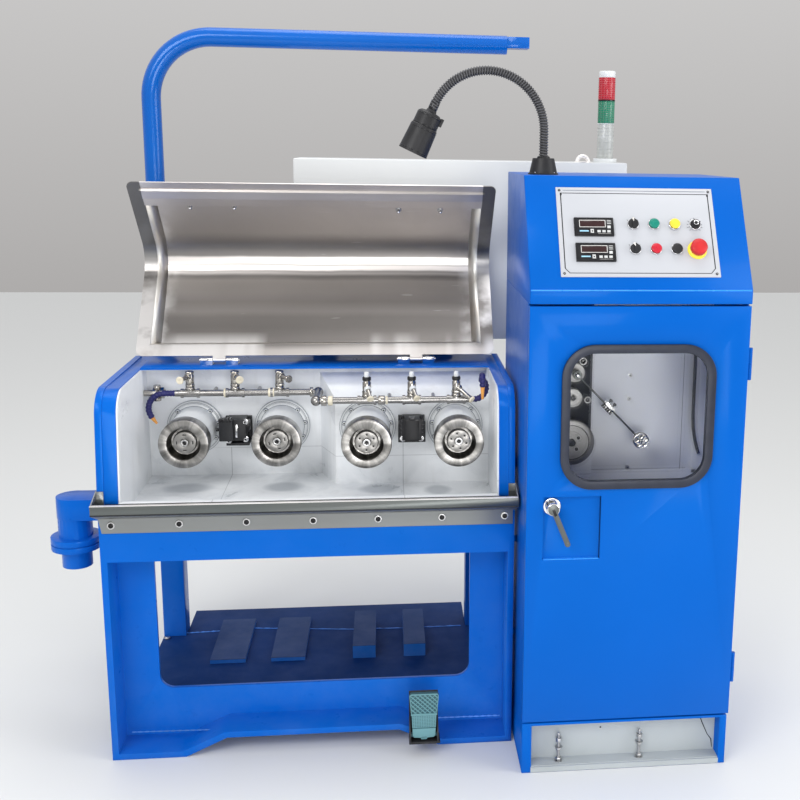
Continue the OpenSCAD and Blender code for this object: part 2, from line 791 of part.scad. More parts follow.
// Bored knuckles on a leaf that points backwards, at both ends of each lid hinge
module lid_hinges() {
  placed() color(steel) for (x = hinge_x, side = [0, 1]) translate([x, hinge_y, hinge_z]) mirror([side, 0, 0])
    difference() {
      union() {
        rod_x([leaf_w / 2 + 1, hinge_half], 0, 0, barrel_r);
        span([leaf_w / 2 + 1, hinge_half], [1 - barrel_r, 26],
          [tank_top - hinge_z, tank_top - hinge_z + leaf_t]);
        span([leaf_w / 2 + 1, hinge_half], [1 - barrel_r, 0], [tank_top - hinge_z, 0]);
      }
      rod_x([0, 2 * hinge_half], 0, 0, hinge_pin_r + pin_gap);
    }
}

module boom_pipe() {
  placed() color(blue) {
    rod_z(boom_x, boom_y, [beam_top - 90, boom_z - boom_bend], boom_r);
    translate([boom_x + boom_bend, boom_y, boom_z - boom_bend]) rotate([90, 0, 0]) rotate([0, 0, 90])
      rotate_extrude(angle = 90) translate([boom_bend, 0]) circle(boom_r);
    rod_x([boom_x + boom_bend, boom_x + boom_reach], boom_y, boom_z, boom_r);
    span([boom_x + boom_reach, boom_x + boom_reach + 65], [boom_y - boom_r, boom_y + boom_r],
      [boom_z - 10, boom_z + 22]);
    rod_z(boom_x, boom_y, [beam_top - 90, beam_top - 78], boom_r + 6);
  }
}

module cabinet_body() {
  placed() color(blue) {
    difference() {
      span([0, cab_w], [body_y, cab_d], [plinth_h, box_z]);
      span([sheet, cab_w - sheet], [body_y - 1, cab_d - sheet], [plinth_h + sheet, box_z - sheet]);
    }
    difference() {
      span([0, cab_w - 6], [0, cab_d], [0, plinth_h]);
      span([24, cab_w - 24], [-1, 44], [14, plinth_h - 6]);
      span([sheet, cab_w - 6 - sheet], [47, cab_d - sheet], [-1, plinth_h - sheet]);
    }
    for (z = knuckle_z) difference() {
      union() {
        rod_z(pin_x, pin_y, [z - knuckle_l, z - seat_gap], knuckle_r);
        span([cab_w - sheet, pin_x], [pin_y + 1, body_y + 30], [z - knuckle_l, z - seat_gap]);
      }
      rod_z(pin_x, pin_y, [z - knuckle_l - 1, z], knuckle_r / 2 + pin_gap);
    }
  }
}

module plinth_panel() {
  placed() color(white) {
    span([24, cab_w - 24], [40, 44 - seat_gap], [14, plinth_h - 6]);
    span([24, cab_w - 24], [2, 40], [14, 18]);
  }
}

module levelling_bolts() {
  placed() color(steel) for (x = [98, 310]) {
    rod_z(x, 22, [18, 108], 6);
    translate([x, 22, 30]) cylinder(r = 12, h = 10, $fn = 6);
    translate([x, 22, 92]) cylinder(r = 12, h = 16, $fn = 6);
  }
}

module control_box() {
  placed() color(blue) along_x([0, cab_w]) polygon([
    [0, box_z], [0, fold_z], [slope_run, cab_h], [cab_d, cab_h], [cab_d, box_z]
  ]);
}

module control_plate() {
  placed() color(white) on_face()
    translate([plate_x, plate_s, 0]) linear_extrude(plate_t) square([plate_w, plate_h]);
}

module meters() {
  placed() color(black) on_face() for (s = meter_s)
    translate([meter_x, s - meter_h / 2, plate_t]) cube([meter_w, meter_h, 7]);
}

module button_bezels() {
  placed() color(steel) on_face() for (i = [0:3], j = [0, 1]) translate([column_x[i], row_s[j], plate_t])
    difference() {
      cylinder(r = bezel_r, h = bezel_t);
      translate([0, 0, -1]) cylinder(r = button_r + pin_gap, h = bezel_t + 2);
    }
}

// Round cap that slides in its bezel
module push_button(i, j, shade) {
  placed() color(shade) on_face() translate([column_x[i], row_s[j], plate_t + press + seat_gap])
    cylinder(r = button_r, h = bezel_t - 1);
}

// Knob with a raised pointer
module pointer_knob(i, j) {
  placed() color(black) on_face() translate([column_x[i], row_s[j], plate_t + seat_gap]) {
    cylinder(r = button_r, h = bezel_t);
    translate([-3, -button_r, bezel_t]) cube([6, 2 * button_r, 8]);
  }
}

module selector_upper() pointer_knob(0, 1);
module selector_lower() pointer_knob(0, 0);
module green_button() push_button(1, 1, [0.05, 0.5, 0.3]);
module yellow_button() push_button(2, 1, [0.9, 0.75, 0.1]);
module red_button() push_button(1, 0, [0.75, 0.08, 0.1]);
module black_button() push_button(2, 0, black);

module speed_knob() {
  placed() color(black) on_face() translate([column_x[3], row_s[1], plate_t + seat_gap]) {
    cylinder(r = button_r, h = 12);
    cylinder(r = button_r - 4, h = 16);
  }
}

module emergency_stop() {
  placed() color([0.8, 0.08, 0.08]) on_face() translate([column_x[3], row_s[0], plate_t]) {
    translate([0, 0, press + seat_gap]) cylinder(r = button_r, h = bezel_t + press + 1);
    translate([0, 0, bezel_t + press + 1]) cylinder(r = mushroom_r, h = 12);
  }
}

module door() {
  placed() color(blue) {
    difference() {
      span([0, door_x1], [0, door_t], [door_z0, door_z1]);
      difference() {
        span([sheet, door_x1 - sheet], [sheet, door_t + 1], [door_z0 + sheet, door_z1 - sheet]);
        span([recess_x - sheet, recess_x + recess_w + sheet], [0, recess_d + sheet],
          [recess_z - sheet, recess_z + recess_h + sheet]);
      }
      span([recess_x, recess_x + recess_w], [-1, recess_d], [recess_z, recess_z + recess_h]);
      along_y([-1, door_t])
        translate([window_x - window_w / 2 + seal_w / 2, window_z - window_h / 2 + seal_w / 2])
        round_rect(window_w - seal_w, window_h - seal_w, seal_r - seal_w / 2);
      rod_y(handle_x, [-1, door_t], handle_z, 8 + pin_gap);
    }
    for (z = knuckle_z) {
      rod_z(pin_x, pin_y, [z, z + knuckle_l], knuckle_r);
      rod_z(pin_x, pin_y, [z - knuckle_l, z], knuckle_r / 2);
      span([door_x1 - sheet, pin_x], [pin_y - 5, pin_y - 1], [z + 1, z + knuckle_l]);
    }
  }
}

module window_seal() {
  placed() color(black) difference() {
    along_y([-8, 8])
      translate([window_x - window_w / 2, window_z - window_h / 2]) round_rect(window_w, window_h, seal_r);
    along_y([-9, 9]) translate([window_x - window_w / 2 + seal_w, window_z - window_h / 2 + seal_w])
      round_rect(window_w - 2 * seal_w, window_h - 2 * seal_w, seal_r - seal_w);
    difference() {
      along_y([0 - seat_gap, sheet + seat_gap])
        translate([window_x - window_w / 2 - 1, window_z - window_h / 2 - 1])
          square([window_w + 2, window_h + 2]);
      along_y([-1, sheet + 1]) translate([window_x - window_w / 2 + seal_w / 2 + seat_gap,
        window_z - window_h / 2 + seal_w / 2 + seat_gap])
        round_rect(window_w - seal_w - 2 * seat_gap, window_h - seal_w - 2 * seat_gap,
          seal_r - seal_w / 2 - seat_gap);
    }
  }
}

module window_glass() {
  placed() color([0.8, 0.9, 0.9, 0.3])
    along_y([-1, 2])
      translate([window_x - window_w / 2 + seal_w + seat_gap, window_z - window_h / 2 + seal_w + seat_gap])
    round_rect(window_w - 2 * (seal_w + seat_gap), window_h - 2 * (seal_w + seat_gap),
      seal_r - seal_w - seat_gap);
}

module door_handle() {
  placed() color(steel) translate([handle_x, 0, handle_z]) {
    rod_y(0, [-handle_reach + 4, recess_d + sheet + 6], 0, 8);
    rod_y(0, [-handle_reach, -handle_reach + 12], 0, 13);
    rotate([0, -handle_a, 0])
      translate([-handle_w / 2, 1 - handle_reach, -handle_l]) cube([handle_w, 8, handle_l]);
  }
}

module inner_panel() {
  placed() color(white) span([panel_split, panel_x1], [panel_y, panel_y + 5], [panel_z0, panel_z1]);
}

module wheel_plate() {
  placed() color([0.2, 0.2, 0.22]) {
    for (x = [[sheet, panel_split], [panel_x1, cab_w - sheet]])
      span(x, [panel_y, panel_y + 10], [panel_z0, panel_z1]);
    rod_y(guide_x[0], [dancer_y - 12, panel_y], guide_z[0], dancer_pin_r);
    rod_y(guide_x[1], [wheel_y - wheel_w / 2 - 6, panel_y], guide_z[1], dancer_pin_r);
    rod_y(finish_x, [wheel_y - wheel_w / 2 - 6, panel_y], finish_z, 10);
  }
}

// Grooved wheel that turns on a fixed pin
module wheel(x, z, r, w, bore) {
  placed() color(steel) translate([x, wheel_y, z]) rotate([-90, 0, 0]) rotate_extrude() polygon([
    [bore, -w / 2], [r, -w / 2], [r, -w / 2 + 3], [r - 4, 0], [r, w / 2 - 3], [r, w / 2], [bore, w / 2]
  ]);
}
module guide_wheel_upper() wheel(guide_x[0], guide_z[0], guide_r, wheel_w, dancer_pin_r + pin_gap);
module guide_wheel_lower() wheel(guide_x[1], guide_z[1], guide_r, wheel_w, dancer_pin_r + pin_gap);
module finishing_wheel() wheel(finish_x, finish_z, finish_r, wheel_w, 10 + pin_gap);

// Arm that swings on the upper guide wheel's pin
module dancer_arm() {
  placed() color(steel) translate([guide_x[0], dancer_y, guide_z[0]]) rotate([0, -dancer_a, 0]) difference() {
    union() {
      rod_y(0, [-8, 8], 0, 12);
      rod_x([0, dancer_l], 0, 0, 4);
      rod_x([110, 135], 0, 0, 9);
      rod_y(dancer_l, [-24, 5], 0, 5);
    }
    rod_y(0, [-9, 9], 0, dancer_pin_r + pin_gap);
  }
}

module dancer_pulley() {
  tip_x = guide_x[0] + dancer_l * cos(dancer_a);
  tip_z = guide_z[0] + dancer_l * sin(dancer_a);
  placed() color(steel) translate([tip_x, dancer_y - 20, tip_z]) rotate([-90, 0, 0]) difference() {
    cylinder(r = dancer_r, h = 8);
    translate([0, 0, -1]) cylinder(r = 5 + pin_gap, h = 10);
  }
}

module lamp_neck() {
  placed() color(black) {
    translate([lamp_x, lamp_y, cab_h]) cylinder(r1 = 36, r2 = 27, h = lamp_base_h);
    rod_z(lamp_x, lamp_y, [cab_h + lamp_base_h, lamp_neck_z], neck_r);
    translate([lamp_x - neck_bend, lamp_y, lamp_neck_z]) rotate([90, 0, 0])
      rotate_extrude(angle = lamp_a) translate([neck_bend, 0]) circle(neck_r);
  }
}

module lamp_head() {
  placed() color(black) translate([lamp_x - neck_bend, lamp_y, lamp_neck_z])
    rotate([0, -lamp_a, 0]) translate([neck_bend, 0, 0]) {
      cylinder(r = 26, h = 60);
      translate([0, 0, 60]) cylinder(r = 35, h = 70);
    }
}

module stack_light() {
  top = lens_z + 2 * lens_h + lens_gap;
  placed() color(white) {
    rod_z(stack_x, stack_y, [ecab_top, ecab_top + 12], 36);
    rod_z(stack_x, stack_y, [ecab_top, lens_z], lens_r - 2);
    rod_z(stack_x, stack_y, [lens_z, top], core_r);
    rod_z(stack_x, stack_y, [lens_z + lens_h, lens_z + lens_h + lens_gap], lens_r - 2);
    rod_z(stack_x, stack_y, [top, top + 16], lens_r);
  }
}

// Two lens rings round the core of the signal light
module signal_lenses() {
  placed() color([0.7, 0.1, 0.2]) for (z = [lens_z, lens_z + lens_h + lens_gap]) difference() {
    rod_z(stack_x, stack_y, [z, z + lens_h], lens_r);
    rod_z(stack_x, stack_y, [z - 1, z + lens_h + 1], core_r + seat_gap);
  }
}

module electrical_cabinet() {
  placed() color(white) span([ecab_x0, ecab_x0 + ecab_w], [ecab_y0, rear_y], [ecab_z, ecab_top]);
}

// Foot switch: back plate, foot and two cheeks that carry the pedal's pin
module pedal_base() {
  placed() color(black) {
    span(pedal_x, [frame_y - 16, frame_y], pedal_z);
    span(pedal_x, [frame_y - 60, frame_y - 16], [pedal_z[0], pedal_z[0] + 6]);
    for (x = [pedal_x[0], pedal_x[1] - cheek_t]) difference() {
      span([x, x + cheek_t], [frame_y - 60, frame_y - 16], [pedal_z[0] + 6, pedal_pin_z + 14]);
      rod_x([x - 1, x + cheek_t + 1], pedal_pin_y, pedal_pin_z, pedal_pin_r + pin_gap);
    }
  }
}

module pedal() {
  placed() color([0.35, 0.62, 0.62]) translate([0, pedal_pin_y, pedal_pin_z]) rotate([5, 0, 0]) {
    span([pedal_x[0] + cheek_t + 1, pedal_x[1] - cheek_t - 1], [-pedal_t / 2, pedal_t / 2], [0, 104]);
    rod_x([pedal_x[0] + cheek_t + 1, pedal_x[1] - cheek_t - 1], 0, 0, pedal_t / 2);
    rod_x(pedal_x, 0, 0, pedal_pin_r);
  }
}

front_frame();
rear_frame();
base_plate();
tank_shell();
tank_liner();
drip_lip();
drain_elbow();
gearbox_housing();
capstan_housings();
capstan_1();
capstan_2();
capstan_3();
capstan_4();
die_holders();
coolant_manifold();
spray_valves();
coolant_hoses();
hose_nozzles();
lid();
lid_hinges();
boom_pipe();
cabinet_body();
plinth_panel();
levelling_bolts();
control_box();
control_plate();
meters();
button_bezels();
selector_upper();
selector_lower();
speed_knob();
green_button();
yellow_button();
red_button();
black_button();
emergency_stop();
door();
window_seal();
window_glass();
door_handle();
inner_panel();
wheel_plate();
guide_wheel_upper();
guide_wheel_lower();
finishing_wheel();
dancer_arm();
dancer_pulley();
lamp_neck();
lamp_head();
stack_light();
signal_lenses();
electrical_cabinet();
pedal_base();
pedal();
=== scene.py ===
import math

import bmesh
import bpy
from mathutils import Matrix, Vector


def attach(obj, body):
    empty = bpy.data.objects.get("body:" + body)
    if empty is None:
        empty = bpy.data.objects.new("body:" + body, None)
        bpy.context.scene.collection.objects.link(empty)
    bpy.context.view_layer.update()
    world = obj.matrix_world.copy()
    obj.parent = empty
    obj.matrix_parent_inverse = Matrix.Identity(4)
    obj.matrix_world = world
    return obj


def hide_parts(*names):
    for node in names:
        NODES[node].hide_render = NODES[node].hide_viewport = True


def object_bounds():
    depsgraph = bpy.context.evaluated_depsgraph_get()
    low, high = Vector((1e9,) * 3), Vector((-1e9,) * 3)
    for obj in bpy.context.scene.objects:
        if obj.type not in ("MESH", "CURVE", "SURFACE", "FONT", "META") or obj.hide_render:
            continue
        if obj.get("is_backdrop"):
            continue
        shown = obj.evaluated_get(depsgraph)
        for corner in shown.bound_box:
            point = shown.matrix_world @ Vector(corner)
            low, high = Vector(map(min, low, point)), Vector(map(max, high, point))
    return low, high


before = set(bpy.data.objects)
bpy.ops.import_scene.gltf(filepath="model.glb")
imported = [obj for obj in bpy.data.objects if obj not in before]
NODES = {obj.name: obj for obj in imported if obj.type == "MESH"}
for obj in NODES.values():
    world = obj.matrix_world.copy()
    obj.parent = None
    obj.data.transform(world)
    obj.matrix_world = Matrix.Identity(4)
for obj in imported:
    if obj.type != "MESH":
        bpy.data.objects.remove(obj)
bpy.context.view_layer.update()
scene = bpy.context.scene

# ---------------------------------------------------------------- construction frame, in millimetres
# X=0 cabinet's left side, Y=0 cabinet's front, Z=0 floor; the row frame is shifted and in metres.
SHIFT = Vector((331.0, -488.0, 0.0))


def row(v):
    """A point of the construction frame in the row frame."""
    return (Vector(v) + SHIFT) * 0.001


def at(x, y, z):
    """Shift to a point."""
    return Matrix.Translation((x, y, z))


def spun(deg, axis="Z"):
    """Turn by some degrees round a local axis."""
    return Matrix.Rotation(math.radians(deg), 4, axis)


def polar(r, a, cx=0.0, cy=0.0):
    """Point at radius r and angle a round a centre."""
    return cx + r * math.cos(a), cy + r * math.sin(a)


TAU = 2 * math.pi
FACE_RISE, FACE_RUN = 262, 155
FACE = at(0, 0, 1243) @ Matrix.Rotation(math.atan2(FACE_RISE, FACE_RUN), 4, "X")
CAPSTAN_X = [-507 + (i - 1.5) * 239 for i in range(4)]
AXIS_Z = [792, 792, 815, 815]
BACK_Y = [535, 535, 425, 425]
DIE_X = [(CAPSTAN_X[0] + CAPSTAN_X[1]) / 2, (CAPSTAN_X[2] + CAPSTAN_X[3]) / 2]
VALVE_X = [CAPSTAN_X[0], DIE_X[0], CAPSTAN_X[1], CAPSTAN_X[2], DIE_X[1], CAPSTAN_X[3]]
VALVE_Y = [475, 475, 475, 365, 365, 365]
LID_OPEN = 129.5
LID = at(0, 515, 984) @ spun(-LID_OPEN, "X")
DANCER_X, DANCER_Z, DANCER_DEG, DANCER_ARM = 157, 994, 45.5, 244
DANCER = at(DANCER_X, 0, DANCER_Z) @ spun(DANCER_DEG, "Y")
SIGNAL = (330, 820)
PIPE_Z, PANEL_Y, WHEEL_Y, PLATE_TOP = 900, 300, 251, 2.5
NECK_X, NECK_Y, NECK_Z, NECK_R, NECK_SWEEP = 59, 240, 1612, 142, 155


# ---------------------------------------------------------------- node materials
class Nodes:
    """Small helper that strings shader nodes together."""

    def __init__(self, name):
        self.mat = bpy.data.materials.new(name)
        self.mat.use_nodes = True
        self.tree = self.mat.node_tree
        self.bsdf = self.tree.nodes["Principled BSDF"]
        self.coord = self.tree.nodes.new("ShaderNodeTexCoord").outputs["Object"]

    def node(self, kind, **inputs):
        n = self.tree.nodes.new(kind)
        for key, value in inputs.items():
            self.put(n.inputs[key.replace("_", " ")], value)
        return n

    def put(self, socket, value):
        if isinstance(value, bpy.types.NodeSocket):
            self.tree.links.new(value, socket)
        else:
            socket.default_value = value

    def mapped(self, scale=(1, 1, 1), rot=(0, 0, 0), loc=(0, 0, 0)):
        return self.node("ShaderNodeMapping", Vector=self.coord, Scale=scale, Rotation=rot, Location=loc).outputs[0]

    def noise(self, scale, detail=3, rough=0.55, vector=None, distortion=0.0):
        n = self.node("ShaderNodeTexNoise", Scale=scale, Detail=detail, Roughness=rough, Distortion=distortion)
        self.put(n.inputs["Vector"], self.coord if vector is None else vector)
        return n.outputs["Fac"]

    def noise_1d(self, value, scale, detail):
        n = self.tree.nodes.new("ShaderNodeTexNoise")
        n.noise_dimensions = "1D"
        self.put(n.inputs["W"], value)
        n.inputs["Scale"].default_value = scale
        n.inputs["Detail"].default_value = detail
        return n.outputs["Fac"]

    def ramp(self, value, stops):
        """Colour ramp from stops of (position, grey or colour)."""
        n = self.tree.nodes.new("ShaderNodeValToRGB")
        while len(n.color_ramp.elements) < len(stops):
            n.color_ramp.elements.new(0.5)
        for e, (pos, col) in zip(n.color_ramp.elements, stops):
            e.position = pos
            e.color = (col, col, col, 1) if isinstance(col, (int, float)) else (*col, 1)
        self.put(n.inputs[0], value)
        return n.outputs[0]

    def mix(self, fac, a, b):
        n = self.tree.nodes.new("ShaderNodeMix")
        n.data_type = "RGBA"
        self.put(n.inputs["Factor"], fac)
        self.put(n.inputs["A"], a if isinstance(a, bpy.types.NodeSocket) else (*a, 1))
        self.put(n.inputs["B"], b if isinstance(b, bpy.types.NodeSocket) else (*b, 1))
        return n.outputs["Result"]

    def math(self, op, a, b=0.0):
        n = self.tree.nodes.new("ShaderNodeMath")
        n.operation = op
        self.put(n.inputs[0], a)
        self.put(n.inputs[1], b)
        return n.outputs[0]

    def times(self, a, b):
        return self.math("MULTIPLY", a, b)

    def plus(self, a, b):
        return self.math("ADD", a, b)

    def axis(self, name):
        return self.node("ShaderNodeSeparateXYZ", Vector=self.coord).outputs[name]

    def step(self, value, low, high):
        """0 under low, 1 over high, straight between."""
        n = self.tree.nodes.new("ShaderNodeMapRange")
        n.clamp = True
        self.put(n.inputs["Value"], value)
        n.inputs["From Min"].default_value = low
        n.inputs["From Max"].default_value = high
        return n.outputs[0]

    def scaled(self, value, low, high):
        """0 becomes low and 1 becomes high."""
        n = self.tree.nodes.new("ShaderNodeMapRange")
        self.put(n.inputs["Value"], value)
        n.inputs["To Min"].default_value = low
        n.inputs["To Max"].default_value = high
        return n.outputs[0]

    def bump(self, height, strength, distance=0.001, under=None):
        n = self.node("ShaderNodeBump", Strength=strength, Distance=distance, Height=height)
        if under is not None:
            self.put(n.inputs["Normal"], under)
        return n.outputs[0]

    def done(self, **inputs):
        for key, value in inputs.items():
            self.put(self.bsdf.inputs[key.replace("_", " ")], value)
        return self.mat


def shade(base, k):
    return tuple(c * k for c in base)


def paint(name, base, rough=0.28, vary=0.06, dust=0.0, coat=0.18, peel=0.05, sheen=(1, 1, 1, 1), spec=0.35):
    """Sprayed enamel: slow colour drift, orange peel, light dust towards the floor."""
    m = Nodes(name)
    drift = m.noise(2.3, 4)
    low = shade(base, 1 - vary)
    high = tuple(min(1, c * (1 + vary) + 0.001) for c in base)
    col = m.ramp(drift, [(0.3, low), (0.7, high)])
    if dust:
        film = m.times(m.step(m.axis("Z"), 0.75, 0.0), m.ramp(m.noise(9, 6, 0.7), [(0.35, 0.0), (0.75, 1.0)]))
        col = m.mix(m.times(film, dust), col, (0.42, 0.44, 0.46))
    grain = m.noise(420, 2)
    normal = m.bump(grain, peel, 0.0006)
    wide = m.bump(m.noise(14, 3), peel * 1.6, 0.004, normal)
    smear = m.scaled(m.noise(22, 5, 0.65), rough - 0.06, rough + 0.12)
    return m.done(
        Base_Color=col,
        Roughness=smear,
        Specular_IOR_Level=spec,
        Specular_Tint=sheen,
        Coat_Weight=coat,
        Coat_Roughness=0.12,
        Normal=wide,
    )


def plastic(name, base, rough=0.45, grain=0.12, scale=900):
    """Moulded plastic or rubber with a fine grain and faint handling marks."""
    m = Nodes(name)
    tone = m.noise(30, 4)
    col = m.ramp(tone, [(0.3, shade(base, 0.86)), (0.7, tuple(min(1, c * 1.12 + 0.004) for c in base))])
    return m.done(
        Base_Color=col,
        Roughness=m.scaled(m.noise(60, 5), rough - 0.08, rough + 0.1),
        Specular_IOR_Level=0.35,
        Normal=m.bump(m.noise(scale, 2), grain, 0.0004),
    )


def brushed(name, base, rough=0.3, along=(0.6, 45, 45), strength=0.12):
    """Brushed sheet: long fine lines, wide smudges and warm and cool patches."""
    m = Nodes(name)
    lines = m.noise(14, 6, 0.7, m.mapped(along))
    blot = m.noise(5.5, 5, 0.6, distortion=0.8)
    warm = tuple(min(1, c * k) for c, k in zip(base, (1.06, 0.98, 0.90)))
    cool = tuple(min(1, c * k) for c, k in zip(base, (0.94, 1.0, 1.06)))
    tone = m.ramp(blot, [(0.25, shade(warm, 0.80)), (0.5, base), (0.8, cool)])
    col = m.mix(m.scaled(lines, 0.0, 0.5), tone, shade(base, 0.72))
    gloss = m.plus(m.scaled(lines, rough - 0.1, rough + 0.1), m.scaled(blot, -0.04, 0.08))
    return m.done(Base_Color=col, Metallic=1.0, Roughness=gloss, Normal=m.bump(lines, strength, 0.0005))


def lid_steel():
    """Stainless tray: painted reflections in bands by height (dull legs, a bright painted highlight on the bend), dark
    borders and pale weld heat along the edges.
    """
    m = Nodes("lid_stainless")
    lines = m.noise(14, 6, 0.7, m.mapped((0.6, 45, 45)))
    blot = m.noise(3.2, 5, 0.6, distortion=0.9)
    z = m.axis("Z")
    wave = m.plus(z, m.scaled(m.noise(2.2, 4), -0.010, 0.010))
    span = m.node("ShaderNodeMapRange", Value=wave)
    span.inputs["From Min"].default_value = 0.99
    span.inputs["From Max"].default_value = 1.48
    # painted reflections: these tones by height paint the dark and bright reflections on the legs and the highlight on
    # the bend
    painted_reflection_tones = [
        (0.990, 0.60), (1.012, 0.50), (1.024, 0.20), (1.060, 0.15), (1.085, 0.18), (1.100, 0.27), (1.125, 0.24),
        (1.150, 0.36),
        (1.180, 0.42), (1.192, 0.16), (1.200, 0.34), (1.206, 0.20), (1.212, 0.80), (1.221, 0.85), (1.224, 0.42),
        (1.228, 0.90),
        (1.244, 0.90), (1.250, 0.22), (1.272, 0.18), (1.296, 0.30), (1.320, 0.46), (1.385, 0.60), (1.430, 0.66),
        (1.480, 0.60),
    ]
    tone = m.ramp(span.outputs[0], [((h - 0.99) / 0.49, (c * 1.04, c * 0.98, c * 0.94)) for h, c in painted_reflection_tones])
    tone = m.mix(m.scaled(blot, 0.0, 0.35), tone, (0.34, 0.31, 0.29))
    edge = m.math("ABSOLUTE", m.math("SUBTRACT", m.axis("X"), -0.192))
    heat = m.times(m.step(edge, 0.395, 0.445), m.ramp(m.noise(7, 4), [(0.42, 0.0), (0.56, 1.0)]))
    foot = m.times(m.step(z, 1.05, 1.02), m.ramp(m.noise(5, 3, 0.5, m.mapped((1, 0.1, 0.1))),
                                                 [(0.48, 0.0), (0.58, 1.0)]))
    tone = m.mix(m.times(m.math("MAXIMUM", heat, foot), 0.75), tone, (0.86, 0.84, 0.83))
    border = m.times(m.step(edge, 0.4545, 0.4560), m.step(z, 1.15, 1.27))
    tone = m.mix(m.times(border, 0.85), tone, (0.10, 0.10, 0.098))
    scratch = m.ramp(m.noise(60, 2, 0.5, m.mapped((0.12, 1, 1.4), (0, 0.5, 0))), [(0.73, 0.0), (0.76, 1.0)])
    tone = m.mix(m.times(scratch, 0.3), tone, (0.7, 0.69, 0.68))
    gloss = m.plus(m.scaled(lines, 0.24, 0.42), m.scaled(blot, -0.04, 0.10))
    return m.done(Base_Color=tone, Metallic=1.0, Roughness=gloss, Normal=m.bump(lines, 0.10, 0.0005))


def turned(name, base, rough, centre):
    """Turned steel with rings round a Y axis through centre, in row metres, long circular highlights from a radial
    tangent, and painted highlights and shade in sectors by angle round the axis.
    """
    m = Nodes(name)
    sep = m.node("ShaderNodeSeparateXYZ", Vector=m.mapped(loc=(-centre[0], 0, -centre[1])))
    radius = m.math("SQRT", m.plus(m.math("POWER", sep.outputs["X"], 2.0), m.math("POWER", sep.outputs["Z"], 2.0)))
    line = m.noise_1d(radius, 900, 4)
    blot = m.noise(40, 4)
    # painted highlights: the colour brightens and darkens by angle round the axis, standing in for the radial glints
    # of the ring face
    ray = m.noise_1d(m.math("ARCTAN2", sep.outputs["Z"], sep.outputs["X"]), 1.6, 5)
    painted_highlight_sectors = m.ramp(ray, [(0.36, shade(base, 0.42)), (0.50, base),
                                         (0.62, tuple(min(1, c * 1.75) for c in base))])
    col = m.mix(m.scaled(line, 0.0, 0.55), painted_highlight_sectors, shade(base, 0.55))
    tangent = m.tree.nodes.new("ShaderNodeTangent")
    tangent.direction_type = "RADIAL"
    tangent.axis = "Y"
    m.put(m.bsdf.inputs["Tangent"], tangent.outputs[0])
    return m.done(
        Base_Color=col,
        Metallic=1.0,
        Anisotropic=0.65,
        Roughness=m.plus(m.scaled(line, rough - 0.08, rough + 0.08), m.scaled(blot, -0.06, 0.1)),
        Normal=m.bump(line, 0.25, 0.0004),
    )


def metal(name, base, rough=0.2, vary=0.1, strength=0.03):
    """Plated or plain metal with faint scratches."""
    m = Nodes(name)
    tone = m.noise(35, 4)
    scratch = m.noise(260, 5, 0.7, m.mapped((1, 6, 2)))
    col = m.ramp(tone, [(0.3, shade(base, 1 - vary)), (0.75, base)])
    return m.done(
        Base_Color=col, Metallic=1.0, Roughness=m.scaled(scratch, rough - 0.05, rough + 0.1),
        Normal=m.bump(scratch, strength, 0.0004)
    )


def lining():
    """White tank enamel with coolant stains on the floor, drips under the capstans and black specks."""
    m = Nodes("lining_white")
    stain = m.ramp(m.noise(7, 6, 0.62, distortion=0.6), [(0.44, 0.0), (0.7, 1.0)])
    low = m.step(m.axis("Z"), 0.70, 0.655)
    film = m.times(stain, m.plus(m.times(low, 0.55), 0.22))
    col = m.mix(film, (0.80, 0.82, 0.84), (0.50, 0.53, 0.56))
    drip = m.ramp(m.noise(30, 4, 0.6, m.mapped((1, 1, 0.12))), [(0.56, 0.0), (0.72, 1.0)])
    col = m.mix(m.times(drip, 0.22), col, (0.55, 0.55, 0.54))
    fleck = m.node("ShaderNodeTexVoronoi", Scale=70.0)
    spots = m.times(m.step(fleck.outputs["Distance"], 0.09, 0.05), m.step(m.noise(4, 2), 0.60, 0.68))
    col = m.mix(spots, col, (0.05, 0.045, 0.04))
    x, y, z = m.axis("X"), m.axis("Y"), m.axis("Z")
    for sx, sy, wide in [(-0.542, -0.075, 0.062), (-0.285, -0.080, 0.050), (-0.027, -0.115, 0.050),
                         (0.133, -0.135, 0.034)]:
        dx = m.math("DIVIDE", m.math("SUBTRACT", x, sx), wide)
        dy = m.math("DIVIDE", m.math("SUBTRACT", y, sy), 0.040)
        gap = m.plus(m.math("POWER", m.math("ABSOLUTE", dx), 2.0), m.math("POWER", m.math("ABSOLUTE", dy), 2.0))
        pool = m.times(m.step(gap, 1.5, 0.5), m.step(z, 0.662, 0.655))
        col = m.mix(m.times(pool, 0.6), col, (0.27, 0.30, 0.34))
    for seam, low, high in [(-0.439, 0.66, 0.728), (0.040, 0.66, 0.775)]:
        line = m.step(m.math("ABSOLUTE", m.math("SUBTRACT", x, seam)), 0.0014, 0.0006)
        line = m.times(line, m.step(z, high + 0.004, high))
        col = m.mix(m.times(line, 0.55), col, (0.20, 0.21, 0.23))
    line = m.step(m.math("ABSOLUTE", m.math("SUBTRACT", z, 0.729)), 0.0014, 0.0006)
    col = m.mix(m.times(m.times(line, m.step(x, -0.52, -0.40)), 0.4), col, (0.25, 0.26, 0.28))
    return m.done(
        Base_Color=col,
        Roughness=m.scaled(stain, 0.36, 0.24),
        Coat_Weight=0.2,
        Coat_Roughness=0.15,
        Normal=m.bump(m.noise(60, 4), 0.08, 0.002),
    )


def clear_glass():
    """Thin pane with faint wiping marks."""
    m = Nodes("window_pane")
    mark = m.noise(18, 5)
    m.mat.blend_method = "BLEND"
    return m.done(
        Base_Color=(0.93, 0.97, 0.97, 1),
        Roughness=m.scaled(mark, 0.0, 0.08),
        Transmission_Weight=1.0,
        IOR=1.1,
        Alpha=0.12,
    )


